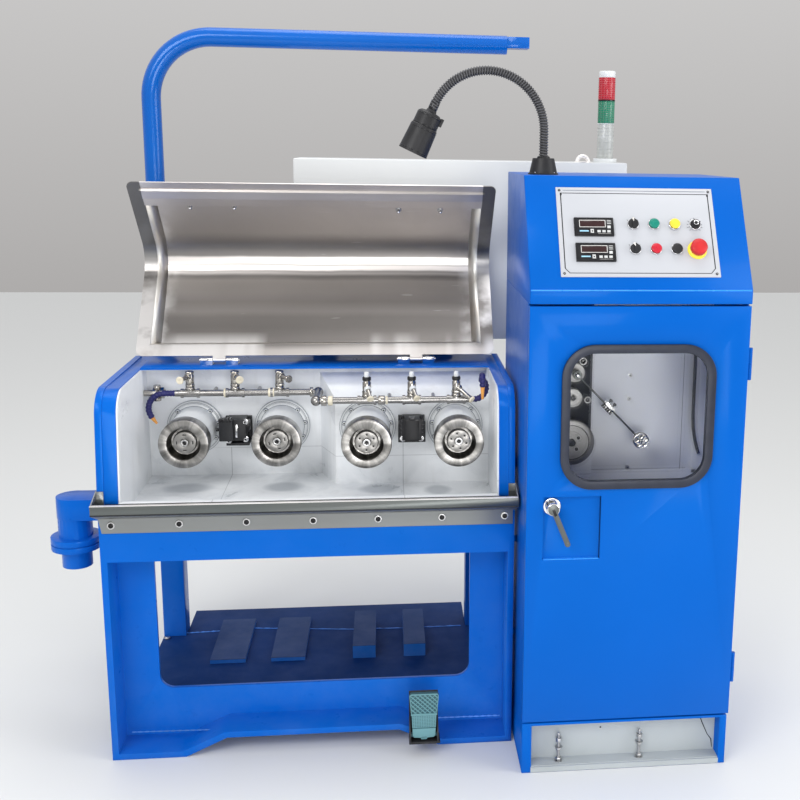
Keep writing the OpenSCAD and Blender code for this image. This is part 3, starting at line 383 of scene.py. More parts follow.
def lens(name, base):
    """Moulded light cover."""
    m = Nodes(name)
    tone = m.noise(40, 3)
    col = m.ramp(tone, [(0.3, shade(base, 0.8)), (0.7, base)])
    return m.done(Base_Color=col, Roughness=0.16, Transmission_Weight=0.25, IOR=1.45,
                  Normal=m.bump(m.noise(300, 2), 0.04, 0.0005))


def lens_two():
    """Signal lenses, red above green."""
    m = Nodes("lens_two")
    col = m.mix(m.step(m.axis("Z"), 1.7125, 1.7135), (0.005, 0.25, 0.14), (0.55, 0.010, 0.030))
    rows = m.step(m.math("FRACT", m.times(m.axis("Z"), 160.0)), 0.60, 0.72)
    cols = m.step(m.math("FRACT", m.times(m.axis("X"), 140.0)), 0.66, 0.78)
    col = m.mix(m.times(m.math("MAXIMUM", rows, cols), 0.16), col, (0.70, 0.50, 0.50))
    return m.done(Base_Color=col, Roughness=0.16, Transmission_Weight=0.2, IOR=1.45,
                  Normal=m.bump(m.noise(300, 2), 0.04, 0.0005))


def lip_steel():
    """Satin stainless of the drip lip, darker on the trough's front wall as a painted reflection."""
    m = Nodes("stainless_lip")
    lines = m.noise(14, 6, 0.7, m.mapped((0.4, 60, 60)))
    # painted reflection: the trough's front wall gets a darker colour for the dark reflection it shows
    wall = m.times(m.step(m.axis("Z"), 0.670, 0.678), m.step(m.axis("Z"), 0.7065, 0.7045))
    tone = m.mix(wall, (0.275, 0.285, 0.28), (0.125, 0.140, 0.138))
    tone = m.mix(m.times(m.ramp(m.noise(3, 5), [(0.35, 0.0), (0.7, 1.0)]), 0.3), tone, (0.19, 0.185, 0.175))
    return m.done(Base_Color=tone, Metallic=0.75, Roughness=m.scaled(lines, 0.28, 0.44),
                  Normal=m.bump(lines, 0.12, 0.0006))


def hem():
    """Bright ground strip of the lid: half bare metal, half a pale diffuse colour that paints in its bright
    reflection.
    """
    m = Nodes("hem_painted_reflection")
    lines = m.noise(14, 6, 0.7, m.mapped((0.5, 60, 60)))
    tone = m.ramp(m.noise(4, 5), [(0.3, (0.60, 0.57, 0.55)), (0.6, (0.92, 0.90, 0.88))])
    return m.done(Base_Color=tone, Metallic=0.45, Roughness=m.scaled(lines, 0.26, 0.42),
                  Normal=m.bump(lines, 0.1, 0.0005))


BLUE = (0.0010, 0.104, 0.50)
BLUE_SHEEN = (0.08, 0.45, 1.0, 1)
M = {
    "blue": paint("enamel_blue", BLUE, rough=0.27, dust=0.05, coat=0.07, sheen=BLUE_SHEEN),
    "blue_cab": paint("enamel_blue_cabinet", (0.0006, 0.096, 0.465), rough=0.34, vary=0.04, coat=0.05, peel=0.03,
                      sheen=BLUE_SHEEN),
    "navy": paint("enamel_navy", (0.003, 0.030, 0.140), rough=0.58, vary=0.3, dust=0.05, coat=0.0, sheen=BLUE_SHEEN,
                  spec=0.1),
    "white": paint("enamel_white", (0.68, 0.70, 0.71), rough=0.3, vary=0.03),
    "pad": paint("pad_blue", (0.008, 0.11, 0.42), rough=0.4, vary=0.25, dust=0.1, coat=0.05, sheen=BLUE_SHEEN),
    "pad_top": paint("pad_top", (0.026, 0.060, 0.175), rough=0.6, vary=0.2, dust=0.1, coat=0.0, spec=0.1),
    "boom": paint("enamel_boom", (0.0012, 0.100, 0.46), rough=0.22, coat=0.5, sheen=BLUE_SHEEN),
    "plate_white": paint("plate_white", (0.47, 0.485, 0.52), rough=0.32, vary=0.015, coat=0.15, peel=0.01),
    "plinth_white": paint("plinth_white", (0.38, 0.415, 0.43), rough=0.45, vary=0.16, dust=0.35),
    "lining": lining(),
    # panel: light grey sheet, its colour raised above its own as painted light for the dim inside of the cabinet
    "panel": paint("panel_grey_painted_light", (0.88, 0.90, 0.94), rough=0.38, vary=0.05, coat=0.1),
    "lid_steel": lid_steel(),
    "steel": metal("plain_steel", (0.50, 0.50, 0.50), rough=0.30),
    "chrome": metal("chrome_plate", (0.78, 0.78, 0.79), rough=0.10),
    "pipe": metal("pipe_steel", (0.36, 0.35, 0.34), rough=0.24, vary=0.25, strength=0.06),
    "iron": paint("plate_dark", (0.030, 0.034, 0.042), rough=0.42, vary=0.2, coat=0.1),
    "black": plastic("black_plastic", (0.012, 0.012, 0.014)),
    "gloss_black": plastic("black_gloss", (0.010, 0.010, 0.012), rough=0.22, grain=0.03),
    "rubber": plastic("black_rubber", (0.014, 0.015, 0.018), rough=0.5, grain=0.2, scale=500),
    "hose": plastic("hose_navy", (0.015, 0.015, 0.11), rough=0.35),
    "orange": plastic("nozzle_orange", (0.80, 0.36, 0.08), rough=0.4),
    "green": plastic("cap_green", (0.005, 0.22, 0.16), rough=0.25, grain=0.02),
    "yellow": plastic("cap_yellow", (0.85, 0.66, 0.05), rough=0.3, grain=0.02),
    "red": plastic("cap_red", (0.50, 0.012, 0.03), rough=0.28, grain=0.02),
    "stop_red": plastic("stop_red", (0.52, 0.018, 0.022), rough=0.36, grain=0.05),
    "teal": paint("pedal_teal", (0.12, 0.27, 0.30), rough=0.45, vary=0.12, coat=0.1, peel=0.15),
    "display": plastic("display_dark", (0.030, 0.010, 0.010), rough=0.12, grain=0.01),
    "glass": clear_glass(),
    # fold: lighter glossy blue for painted highlights on the box fold and the door recess
    "fold": paint("fold_highlight_blue", (0.02, 0.26, 0.85), rough=0.25, coat=0.3),
    "bolt": metal("bolt_steel", (0.62, 0.62, 0.62), rough=0.24),
    "wheel": metal("wheel_steel", (0.34, 0.335, 0.33), rough=0.36, vary=0.25, strength=0.08),
    "lever": metal("lever_steel", (0.16, 0.17, 0.165), rough=0.38),
    "seal": plastic("seal_rubber", (0.016, 0.020, 0.036), rough=0.34, grain=0.1),
    "neck_ring": plastic("neck_ring", (0.075, 0.075, 0.082), rough=0.3),
    "teal_dark": plastic("teal_dark", (0.035, 0.10, 0.12), rough=0.6),
    # real weld beads, in a lighter blue that also paints in the highlights along them
    "weld_blue": paint("weld_blue", (0.05, 0.20, 0.62), rough=0.4, vary=0.4, coat=0.1),
    "hub": metal("hub_steel", (0.36, 0.35, 0.335), rough=0.34, vary=0.2, strength=0.08),
    "valve": metal("valve_nickel", (0.47, 0.445, 0.41), rough=0.2, vary=0.2, strength=0.05),
    "cream": plastic("cream_plastic", (0.72, 0.66, 0.52), rough=0.4),
    "grey_line": plastic("grey_line", (0.16, 0.18, 0.22), rough=0.5),
    "pale_line": plastic("pale_line", (0.62, 0.60, 0.58), rough=0.4),
    "sky_line": plastic("sky_line", (0.30, 0.55, 0.72), rough=0.4),
    "key": plastic("key_grey", (0.55, 0.56, 0.56), rough=0.4),
    "panel_edge": plastic("panel_edge", (0.32, 0.33, 0.36), rough=0.5),
    "lens_two": lens_two(),
    "lens_clear": lens("lens_clear", (0.62, 0.64, 0.62)),
    "hem": hem(),
    "lip": lip_steel(),
    "weld": brushed("stainless_weld", (0.72, 0.70, 0.67), rough=0.42, strength=0.05),
}


# ---------------------------------------------------------------- CAD nodes: materials and eased edges
def dress(node, mat, bevel):
    """Gives a CAD node its material, smooth shading and eased edges."""
    o = NODES[node]
    o.data.materials.clear()
    o.data.materials.append(mat)
    for p in o.data.polygons:
        p.material_index = 0
        p.use_smooth = True
    weld = o.modifiers.new("weld", "WELD")
    weld.merge_threshold = 0.00001
    if bevel:
        b = o.modifiers.new("ease", "BEVEL")
        b.width = bevel
        b.segments = 2
        b.limit_method = "ANGLE"
        b.angle_limit = math.radians(40)
        b.harden_normals = True
        b.use_clamp_overlap = True
    else:
        e = o.modifiers.new("edges", "EDGE_SPLIT")
        e.split_angle = math.radians(35)


for name, mat, bevel in [
    ("front_frame", "blue", 0.002), ("rear_frame", "blue", 0.003), ("base_plate", "navy", 0.0015),
    ("tank_shell", "blue", 0.004), ("tank_liner", "lining", 0.0008), ("drip_lip", "lip", 0.0004),
    ("drain_elbow", "blue", 0.003), ("gearbox_housing", "blue", 0.003), ("capstan_housings", "white", 0.001),
    ("die_holders", "black", 0.001), ("coolant_manifold", "pipe", 0.0), ("spray_valves", "pipe", 0.0006),
    ("coolant_hoses", "hose", 0.0), ("hose_nozzles", "orange", 0.0), ("lid", "lid_steel", 0.0),
    ("lid_hinges", "chrome", 0.0005),
    ("boom_pipe", "boom", 0.0015), ("cabinet_body", "blue_cab", 0.0012), ("plinth_panel", "plinth_white", 0.0),
    ("levelling_bolts", "steel", 0.0006), ("control_box", "blue_cab", 0.0025),
    ("control_plate", "plate_white", 0.0004),
    ("meters", "gloss_black", 0.0012), ("button_bezels", "chrome", 0.0006), ("selector_upper", "black", 0.0007),
    ("selector_lower", "black", 0.0007), ("speed_knob", "black", 0.0007), ("green_button", "green", 0.001),
    ("yellow_button", "yellow", 0.001), ("red_button", "red", 0.001), ("black_button", "black", 0.001),
    ("emergency_stop", "stop_red", 0.003), ("door", "blue_cab", 0.0012), ("window_seal", "seal", 0.0045),
    ("window_glass", "glass", 0.0), ("door_handle", "lever", 0.0015), ("inner_panel", "panel", 0.0005),
    ("wheel_plate", "iron", 0.0008), ("dancer_arm", "chrome", 0.0), ("lamp_neck", "black", 0.0),
    ("lamp_head", "black", 0.002), ("stack_light", "white", 0.001), ("signal_lenses", "lens_two", 0.001),
    ("electrical_cabinet", "white", 0.004), ("pedal_base", "black", 0.001), ("pedal", "teal", 0.002),
]:
    dress(name, M[mat], bevel)

for i in range(4):
    c = row((CAPSTAN_X[i], 0, AXIS_Z[i]))
    dress(f"capstan_{i + 1}", turned(f"capstan_steel_{i + 1}", (0.33, 0.32, 0.305), 0.30, (c.x, c.z)), 0.0005)
for node, cx, cz, rough in [
    ("guide_wheel_upper", 157, 994, 0.3), ("guide_wheel_lower", 152, 926, 0.3), ("finishing_wheel", 151, 805, 0.34),
    ("dancer_pulley", *polar(DANCER_ARM, -math.radians(DANCER_DEG), DANCER_X, DANCER_Z), 0.25),
]:
    c = row((cx, 0, cz))
    dress(node, turned(f"{node}_steel", (0.30, 0.295, 0.285), rough, (c.x, c.z)), 0.0006)


# ---------------------------------------------------------------- helpers for detail pieces
def front(x, y, z, spin=0.0):
    """Local Z towards the viewer, local X to the right and local Y up."""
    return at(x, y, z) @ spun(90, "X") @ Matrix.Rotation(spin, 4, "Z")


def back(x, y, z):
    """Local Z towards the back."""
    return at(x, y, z) @ spun(-90, "X")


def rightward(x, y, z):
    """Local Z along X."""
    return at(x, y, z) @ spun(90, "Y")


def sheet(y, way=-1):
    """Local X and Y become X and Z; local Z starts at y and points to the front, or to the back when way is 1."""
    return Matrix(((1, 0, 0, 0), (0, 0, way, y), (0, 1, 0, 0), (0, 0, 0, 1)))


def aimed(p, d):
    """Local Z along d from p."""
    return Matrix.Translation(p) @ Vector(d).to_track_quat("Z", "Y").to_matrix().to_4x4()


def circle(r, n=32, cx=0.0, cy=0.0):
    return [polar(r, TAU * k / n, cx, cy) for k in range(n)]


def rounded(x0, y0, x1, y1, r, n=5):
    """Rectangle with round corners."""
    pts = []
    for cx, cy, a in [(x1 - r, y1 - r, 0), (x0 + r, y1 - r, 90), (x0 + r, y0 + r, 180), (x1 - r, y0 + r, 270)]:
        for k in range(n + 1):
            pts.append(polar(r, math.radians(a + 90 * k / n), cx, cy))
    return pts


class Piece:
    """One mesh piece, drawn in construction-frame millimetres, with one or more materials."""

    def __init__(self, name, mats, body="frame", slot="steel"):
        self.name, self.mats, self.body, self.slot = name, mats.split(), body, slot
        self.bm = bmesh.new()

    def faces(self, quads, mat):
        for q in quads:
            if len(set(q)) > 2:
                f = self.bm.faces.new(q)
                f.material_index = mat
                f.smooth = True

    def lathe(self, profile, m=Matrix(), mat=0, n=32, closed=False):
        """Turns (radius, height) points round local Z. A zero radius closes an end."""
        rings = []
        for r, h in profile:
            if r < 1e-6:
                v = self.bm.verts.new(m @ Vector((0, 0, h)))
                rings.append([v] * n)
            else:
                rings.append([self.bm.verts.new(m @ Vector((*polar(r, TAU * k / n), h))) for k in range(n)])
        pairs = list(zip(rings, rings[1:])) + ([(rings[-1], rings[0])] if closed else [])
        for a, b in pairs:
            for k in range(n):
                j = (k + 1) % n
                ring = [a[k], a[j], b[j], b[k]]
                face = [v for i, v in enumerate(ring) if v is not ring[i - 1]]
                if len(face) > 2:
                    self.faces([face], mat)

    def ring(self, r0, r1, z0, z1, m=Matrix(), mat=0, n=32):
        """Washer between two radii and two heights, or a disc when the inner radius is 0."""
        self.lathe([(r0, z0), (r1, z0), (r1, z1), (r0, z1)], m, mat, n, r0 > 0)

    def brick(self, lo, hi, m=Matrix(), mat=0):
        c = [self.bm.verts.new(m @ Vector((x, y, z))) for x in (lo[0], hi[0]) for y in (lo[1],
                hi[1]) for z in (lo[2], hi[2])]
        order = [(0, 1, 3, 2), (4, 6, 7, 5), (0, 4, 5, 1), (2, 3, 7, 6), (0, 2, 6, 4), (1, 5, 7, 3)]
        self.faces([[c[i] for i in q] for q in order], mat)

    def plate(self, outer, holes, z0, z1, m=Matrix(), mat=0):
        """Flat plate with holes, between two local heights."""
        edges = []
        loops = []
        for loop in [outer] + holes:
            vs = [self.bm.verts.new((x, y, z0)) for x, y in loop]
            loops.append(vs)
            edges += [self.bm.edges.new((vs[i - 1], vs[i])) for i in range(len(vs))]
        low = [g for g in bmesh.ops.triangle_fill(self.bm, use_beauty=True, edges=edges)["geom"] if isinstance(g,
                bmesh.types.BMFace)]
        pair = {v: self.bm.verts.new((v.co.x, v.co.y, z1)) for vs in loops for v in vs}
        for f in low:
            f.material_index = mat
        self.faces([[pair[v] for v in reversed(f.verts)] for f in low], mat)
        for vs in loops:
            self.faces([[vs[i - 1], vs[i], pair[vs[i]], pair[vs[i - 1]]] for i in range(len(vs))], mat)
        for v in list(pair) + list(pair.values()):
            v.co = m @ v.co

    def tube(self, pts, r, mat=0, n=12):
        """Sweeps a circle along points; r is a number or one radius for each point."""
        pts = [Vector(p) for p in pts]
        radii = [r] * len(pts) if isinstance(r, (int, float)) else r
        side = None
        rings = []
        for i, p in enumerate(pts):
            d = (pts[min(i + 1, len(pts) - 1)] - pts[max(i - 1, 0)]).normalized()
            if side is None:
                side = d.orthogonal().normalized()
            side = (side - d * side.dot(d)).normalized()
            other = d.cross(side)
            turns = [TAU * k / n for k in range(n)]
            rings.append([self.bm.verts.new(p + radii[i] * (side * math.cos(t) + other * math.sin(t))) for t in turns])
        for a, b in zip(rings, rings[1:]):
            self.faces([[a[k], a[(k + 1) % n], b[(k + 1) % n], b[k]] for k in range(n)], mat)
        self.faces([rings[0][::-1], rings[-1]], mat)

    def screw(self, m, r, h, mat=0, socket_shade=1, sides=0):
        """Socket head with a black insert in the hexagonal recess as painted shade, or a hexagon head when sides is 6.
        """
        if sides:
            self.lathe([(0, 0), (r, 0), (r, h * 0.8), (r * 0.86, h), (0, h)], m, mat, sides)
        else:
            self.lathe([(0, 0), (r * 0.97, 0), (r, h * 0.12), (r, h * 0.85), (r * 0.88, h), (r * 0.55, h),
                        (r * 0.5, h * 0.55), (0, h * 0.5)], m, mat, 24)
            self.lathe([(0, h * 0.56), (r * 0.5, h * 0.57), (r * 0.5, h * 0.9), (r * 0.46, h * 0.9),
                        (r * 0.42, h * 0.6), (0, h * 0.6)], m, socket_shade, 6)

    def done(self, bevel=0.0, split=40):
        """Makes the object; bevel is in millimetres and split in degrees."""
        bmesh.ops.recalc_face_normals(self.bm, faces=self.bm.faces)
        for v in self.bm.verts:
            v.co = row(v.co)
        mesh = bpy.data.meshes.new(self.name)
        self.bm.to_mesh(mesh)
        self.bm.free()
        for key in self.mats:
            mesh.materials.append(M[key])
        o = bpy.data.objects.new(self.name, mesh)
        scene.collection.objects.link(o)
        if bevel:
            b = o.modifiers.new("ease", "BEVEL")
            b.width = bevel * 0.001
            b.segments = 2
            b.limit_method = "ANGLE"
            b.angle_limit = math.radians(40)
        e = o.modifiers.new("edges", "EDGE_SPLIT")
        e.split_angle = math.radians(split)
        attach(o, self.body)
        return o


# ---------------------------------------------------------------- drip lip: painted highlight along the top edge, painted shadow line and bolts
p = Piece("lip_highlight_and_shadow_lines", "hem gloss_black", slot="stainless")
# painted highlight: bright strip along the lip's top edge
p.brick((-1048, 99.4, 704.6), (-9, 108.6, 706.0))
# painted shadow: black line between the gutter and the strip
p.brick((-1048, 99.3, 680.4), (-9, 100.2, 683.0), mat=1)
p.done()
p = Piece("lip_bolts", "bolt gloss_black")
for x, z in [(-1014, 637.8), (-850, 638.6), (-686, 639.2), (-521.5, 638.8), (-359, 639), (-197, 639.4),
             (-35.5, 639.5)]:
    p.lathe([(5.6, 0), (10.0, 0), (10.0, 1.2), (9.2, 2.2), (6.6, 2.4), (5.6, 1.6)], front(x, 155, z), 0, 32, True)
    p.screw(front(x, 155, z, 0.3), 6.4, 4.5, 1, 1)
p.done()

# ---------------------------------------------------------------- capstan hubs, flange screws and rings
p = Piece("flange_screws", "white black grey_line", slot="white_paint")
for i in range(4):
    m0 = front(CAPSTAN_X[i], BACK_Y[i] - 16, AXIS_Z[i])
    for deg in (47, 133, 10, 170, -27, 207, -64, 244):
        spot = m0 @ at(*polar(64, math.radians(deg)), 0)
        p.ring(4.4, 6.6, 0, 0.9, spot, 2, 24)
        p.screw(spot, 4.6, 4.4)
    for r, y in [(60.4, 0.0), (67.2, -0.6), (69.8, -6.0), (75.2, -6.0)]:
        p.ring(r, r + 1.1, y, y + 0.4, m0, 2, 72)
p.done()
for i in range(4):
    body = f"capstan_{i + 1}"
    m0 = front(CAPSTAN_X[i], BACK_Y[i] - 175, AXIS_Z[i], 0.25 * i)
    p = Piece(f"capstan_hub_{i + 1}", "hub gloss_black bolt", body)
    if i < 2:
        holes = []
        for k in range(4):
            c, s = math.cos(k * TAU / 4), math.sin(k * TAU / 4)
            holes.append([(19.5 * c - y * s, 19.5 * s + y * c) for y in (-4.5, -1.5, 1.5, 4.5)] +
                         [(22.2 * c - y * s, 22.2 * s + y * c) for y in (4.5, 1.5, -1.5, -4.5)])
    else:
        holes = [circle(2.6, 14, *polar(20.5, k * TAU / 6)) for k in range(6)]
    p.plate(circle(28.4, 64), [circle(11.4, 32)] + holes, 0.1, 2.6, m0)
    # painted shade: black disc behind the hub plate darkens its slots and holes
    p.plate(circle(28.0, 64), [circle(10.2, 32)], 0.02, 0.1, m0, 1)
    p.lathe([(10.2, 0.1), (10.8, 5.6), (9.8, 7.0), (5.6, 7.0), (5.2, 4.3), (0, 4.3)], m0, 2, 32)
    p.lathe([(0, 4.35), (5.1, 4.4), (5.1, 6.2), (4.7, 6.2), (4.4, 4.6), (0, 4.6)], m0, 1, 6)
    # painted shade: black ring in the recess round the hub
    p.ring(29.2, 31.0, -9.6, -8.2, m0, 1, 48)
    p.done(0.2)

# ---------------------------------------------------------------- die boxes
p = Piece("die_box_left", "rubber gloss_black chrome", slot="black_plastic")
x, y, z = DIE_X[0], 465, 792
p.plate(rounded(x - 45, z - 24, x - 8, z + 36, 3), [], 0, 26, sheet(y + 16))
for k in range(4):
    p.brick((x - 43 + 9 * k, y - 13, z + 30), (x - 38 + 9 * k, y + 12, z + 39), mat=1)
p.screw(front(x - 40, y - 9, z + 36), 5, 8, 1, 0)
p.lathe([(0, 0), (5, 0), (5, 6), (3, 9), (0, 9)], rightward(x - 54, y + 4, z + 6), 1, 16)
p.plate([(x - 8, z - 20), (x + 14, z - 20), (x + 36, z + 2), (x + 36, z + 30), (x - 8, z + 30)],
        [circle(5, 16, x + 10, z + 5)], 0, 16,
        sheet(y + 22), 1)
p.brick((x - 2, y - 0.5, z - 16), (x + 3, y + 6, z + 20), mat=2)
for dx, dz in [(24, 27), (24, -22), (-22, -26)]:
    p.ring(5, 8.2, 0, 2, front(x + dx, y + 6, z + dz), 2, 24)
    p.screw(front(x + dx, y + 5, z + dz), 5.2, 6, 2, 1)
p.brick((x - 28, y + 4, z - 40), (x + 34, y + 70, z - 33), mat=0)
p.done(0.8)
p = Piece("die_box_right", "rubber gloss_black chrome", slot="black_plastic")
x, y, z = DIE_X[1], 355, 815
flat = sheet(y + 18)
p.plate(rounded(x - 37, z - 33, x + 37, z + 24, 2), [circle(4, 16, x - 24, z - 22), circle(4, 16, x + 24, z - 22)],
        0, 8, flat)
p.plate(rounded(x - 19, z - 26, x + 19, z + 32, 3), [], 8, 19, flat, 1)
for s in (-1, 1):
    p.plate(rounded(x + s * 26 - 6, z - 14, x + s * 26 + 6, z + 36, 3), [], 8, 16, flat)
    for k in range(4):
        p.brick((x + s * 26 - 7.5, y + 1, z - 8 + 11 * k), (x + s * 26 + 7.5, y + 9, z - 4 + 11 * k), mat=1)
    p.lathe([(0, 0), (5.5, 0), (5.5, 8), (4, 10), (0, 10)], at(x + s * 26, y + 6, z + 34), 1, 8)
    p.ring(5, 8.5, 0, 2, front(x + s * 24, y + 10, z - 22), 2, 24)
    p.screw(front(x + s * 24, y + 10, z - 22), 5.4, 7, 2, 1)
p.brick((x - 8, y - 3, z + 30), (x + 8, y + 16, z + 38), mat=1)
p.done(0.7)

# ---------------------------------------------------------------- coolant line: valves, collars and hose rings
p = Piece("valve_set", "valve white black cream steel", slot="chrome")
for i, (x, y, turn) in enumerate(zip(VALVE_X, VALVE_Y, (-23, 23, 37, 15, 19, 54))):
    left = i < 3
    base = 918
    m0 = at(x, y, base)
    p.lathe([(0, 0), (12, 0), (12.6, 2), (12.6, 7), (10.5, 9), (10.5, 12)], m0, 0, 6)
    p.lathe([(10.5, 8), (11.4, 10), (11.4, 31), (9.5, 34), (9.5, 36), (0, 36)], m0, 0)
    if left:
        p.lathe([(9.0, 36), (11.6, 37), (11.6, 41.5), (10.4, 43), (0, 43)], m0, 0, 6)
        p.lathe([(3, 37), (3, 42.4), (0, 42.8)], m0, 4, 12)
    else:
        p.lathe([(9.5, 36), (11.4, 37), (11.6, 44), (10.2, 46), (0, 46)], m0, 2)
        p.lathe([(6.6, 45), (7.2, 48), (7.2, 54), (6.2, 59), (3.6, 60.2), (0, 60.2)], m0, 1)
    tilt = math.radians(4 if left else 33)
    t = math.radians(turn)
    d = Vector((math.sin(t) * math.cos(tilt), -math.cos(t) * math.cos(tilt), -math.sin(tilt)))
    start = Vector((x, y, base + (30 if left else 20)))
    length = 50 if left or turn < 50 else 62
    ring = aimed(start, d)
    p.lathe([(0, 6), (8.6, 6), (9.4, 8), (9.4, 13), (8.0, 15.5), (6.2, 15.5)], ring, 1 if turn in (15, 19) else 0)
    p.lathe([(5.6, 10), (5.6, length - 4), (0, length - 4)], ring, 0, 20)
    cap = 10.4 if left else 9.4
    p.lathe([(0, length - 6), (cap - 1.4, length - 6), (cap, length - 4.4), (cap, length - 1), (cap - 1, length),
             (2.4, length), (2.0, length - 1.6), (0, length - 1.6)],
            ring, 0 if turn == 37 else 3)
valves = p.done(0.15)
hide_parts("spray_valves")
p = Piece("pipe_collars", "cream valve chrome", slot="chrome")
for x0, x1, y, r, mat in [(-776, -764, 475, 12.5, 0), (-657, -641, 475, 12.5, 0), (-545, -536, 475, 13.5, 1),
                          (-490, -478, 365, 13, 0),
                          (-508, -494, 365, 14, 1), (-357, -340, 365, 12.5, 1), (-338, -332, 365, 11.5, 0)]:
    p.lathe([(8, 0), (r - 0.8, 0), (r, 1.2), (r, x1 - x0 - 1.2), (r - 0.8, x1 - x0), (8, x1 - x0)],
            rightward(x0, y, PIPE_Z), mat, 24, True)
for x, y in zip(VALVE_X, VALVE_Y):
    p.lathe([(11, -2), (12.6, 0), (12.6, 5), (11, 7)], at(x, y, 911), 1)
for x, r, w in [(-990, 9, 58), (-966, 15, 11), (-948, 15.5, 12)]:
    p.lathe([(5, 0), (r - 1, 0), (r, 1), (r, w - 1), (r - 1, w), (5, w)], rightward(x, 487, 899), 1,
            6 if r > 10 else 20, True)
p.lathe([(0, -22), (9, -22), (10, -20), (10, -14), (8, -12), (8, 12), (10, 14), (10, 20), (9, 22), (0, 22)],
        at(-955, 487, 899), 1, 8)
p.done(0.15)
p = Piece("hose_rings", "hose", slot="navy_plastic")
PIPE_X = (CAPSTAN_X[0] - 40, CAPSTAN_X[3] + 43)


def bead(c, d):
    p.lathe([(6.4, -4.6), (7.4, -4.2), (8.4, -1.2), (8.4, 1.2), (6.6, 4.2), (5.6, 4.6)], aimed(c, d), 0, 14, True)


for k in range(4):
    bead((PIPE_X[0] - 4 - 8 * k, 475, PIPE_Z), (-1, 0, 0))
for k in range(11):
    a = math.radians(90 + 11.8 * (k + 0.3))
    bead((PIPE_X[0] - 30 + 42 * math.cos(a), 475, 858 + 42 * math.sin(a)), (-math.sin(a), 0, math.cos(a)))
for k in range(9):
    a = math.radians(-90 + 15.4 * (k + 0.5))
    bead((PIPE_X[1] + 6 + 32 * math.cos(a), 365, 932 + 32 * math.sin(a)), (-math.sin(a), 0, math.cos(a)))
for k in range(4):
    a = math.radians(45 * k + 22)
    c = (PIPE_X[1] + 6 + 32 * math.cos(math.radians(50)), 354 + 11 * math.cos(a), 956.5 + 11 * math.sin(a))
    bead(c, (0, -math.sin(a), math.cos(a)))
for k in range(2):
    bead((PIPE_X[1] + 6 + 32 * math.cos(math.radians(50)), 343, 952 - 9 * k), (0, 0, -1))
p.done()

# ---------------------------------------------------------------- control plate
BEZEL_X = [258, 309, 360, 411]
ROW_S = [105, 171]
p = Piece("plate_marks", "black grey_line steel", slot="black_plastic")
for lo, hi, mat in [((84.9, 56), (87.3, 254), 0), ((450.1, 56), (452.5, 254), 0), ((97, 43.0), (440, 44.6), 0),
                    ((92, 262.0), (446, 263.4), 1),
                    ((89, 254.4), (449, 256.0), 0), ((84.6, 249), (89, 256), 0), ((448.6, 249), (453, 256), 0)]:
    p.brick((lo[0], lo[1], 2.5), (hi[0], hi[1], 2.75), FACE, mat)
for x, a in [(91.5, -48), (445.5, 48)]:
    m0 = FACE @ at(x, 49.8, PLATE_TOP) @ spun(a)
    p.brick((-8.4, -0.9, 0), (8.4, 0.9, 0.25), m0, 0)
for x, s in [(83.4, 262.6), (453.6, 262.6), (83.4, 42.4), (453.6, 42.4)]:
    p.screw(FACE @ at(x, s, PLATE_TOP), 3.0, 1.6, 0, 2)
for deg in range(-135, 136, 27):
    m0 = FACE @ at(BEZEL_X[3], ROW_S[1], PLATE_TOP) @ spun(-deg)
    p.brick((-0.45, 15.5, 0), (0.45, 19.0 if deg % 54 else 20.5, 0.25), m0, 0)
for deg in (-45, 0, 45):
    for s in ROW_S:
        m0 = FACE @ at(BEZEL_X[0], s, PLATE_TOP) @ spun(-deg)
        p.brick((-0.5, 16, 0), (0.5, 19.5, 0.25), m0, 0)
p.done()
p = Piece("meter_faces", "gloss_black display pale_line key sky_line", slot="black_plastic")
for s0 in (96, 163):
    m0 = FACE @ at(113.5, s0 - 24, 9.5)
    p.plate(rounded(2, 2, 94, 46, 2), [rounded(4, 4, 92, 44, 1)], 0, 1.0, m0)
    p.brick((14, 23.5, 0), (74, 38.5, 0.5), m0, 1)
    p.plate(rounded(12, 21.5, 76, 40.5, 1), [rounded(13.4, 22.9, 74.6, 39.1, 0.5)], 0, 0.8, m0, 2)
    p.brick((12, 10, 0), (34, 13.4, 0.5), m0, 4)
    p.brick((38.5, 6.5, 0), (46.5, 16.5, 1.0), m0, 3)
    p.brick((41, 9.5, 1.0), (44, 13, 1.2), m0, 0)
    for x0, y0, x1, y1 in [(55, 8, 63, 14), (67, 8, 75, 14), (79, 8, 87, 14), (80, 19, 88, 26), (80, 30.5, 89, 32),
                           (80, 35, 89, 36.4), (80, 39, 89, 40.2)]:
        p.brick((x0, y0, 0), (x1, y1, 0.8), m0, 3)
    p.brick((56, 4.6, 0), (88, 5.2, 0.4), m0, 2)
p.done(0.15)
for name, body, s0 in [("selector_mark_upper", "selector_upper", ROW_S[1]),
                       ("selector_mark_lower", "selector_lower", ROW_S[0])]:
    p = Piece(name, "pale_line black", body, "black_plastic")
    m0 = FACE @ at(BEZEL_X[0], s0, 0)
    m1 = m0 @ spun(8 if body == "selector_upper" else 20)
    p.plate([(-3.4, 12.4), (-0.4, 3.0), (0.4, 3.0), (3.4, 12.4), (0, 13.0)], [], 17.8, 18.3, m1, 0)
    p.lathe([(0, 9.4), (12.9, 9.4), (13.1, 11.4), (12.2, 13.6), (10.8, 14.4), (0, 14.4)], m0, 1, 40)
    for k in range(18):
        p.brick((10.6, -1.0, 3.2), (11.5, 1.0, 9.2), m0 @ Matrix.Rotation(k * TAU / 18, 4, "Z"), 1)
    p.done(0.2)
p = Piece("speed_knob_cap", "chrome black pale_line", "speed_knob", "chrome")
m0 = FACE @ at(BEZEL_X[3], ROW_S[1], 0)
p.lathe([(0, 18.8), (4.2, 18.8), (4.2, 19.5), (5.8, 20.6), (6.4, 20.4), (6.4, 16), (0, 16)], m0, 0)
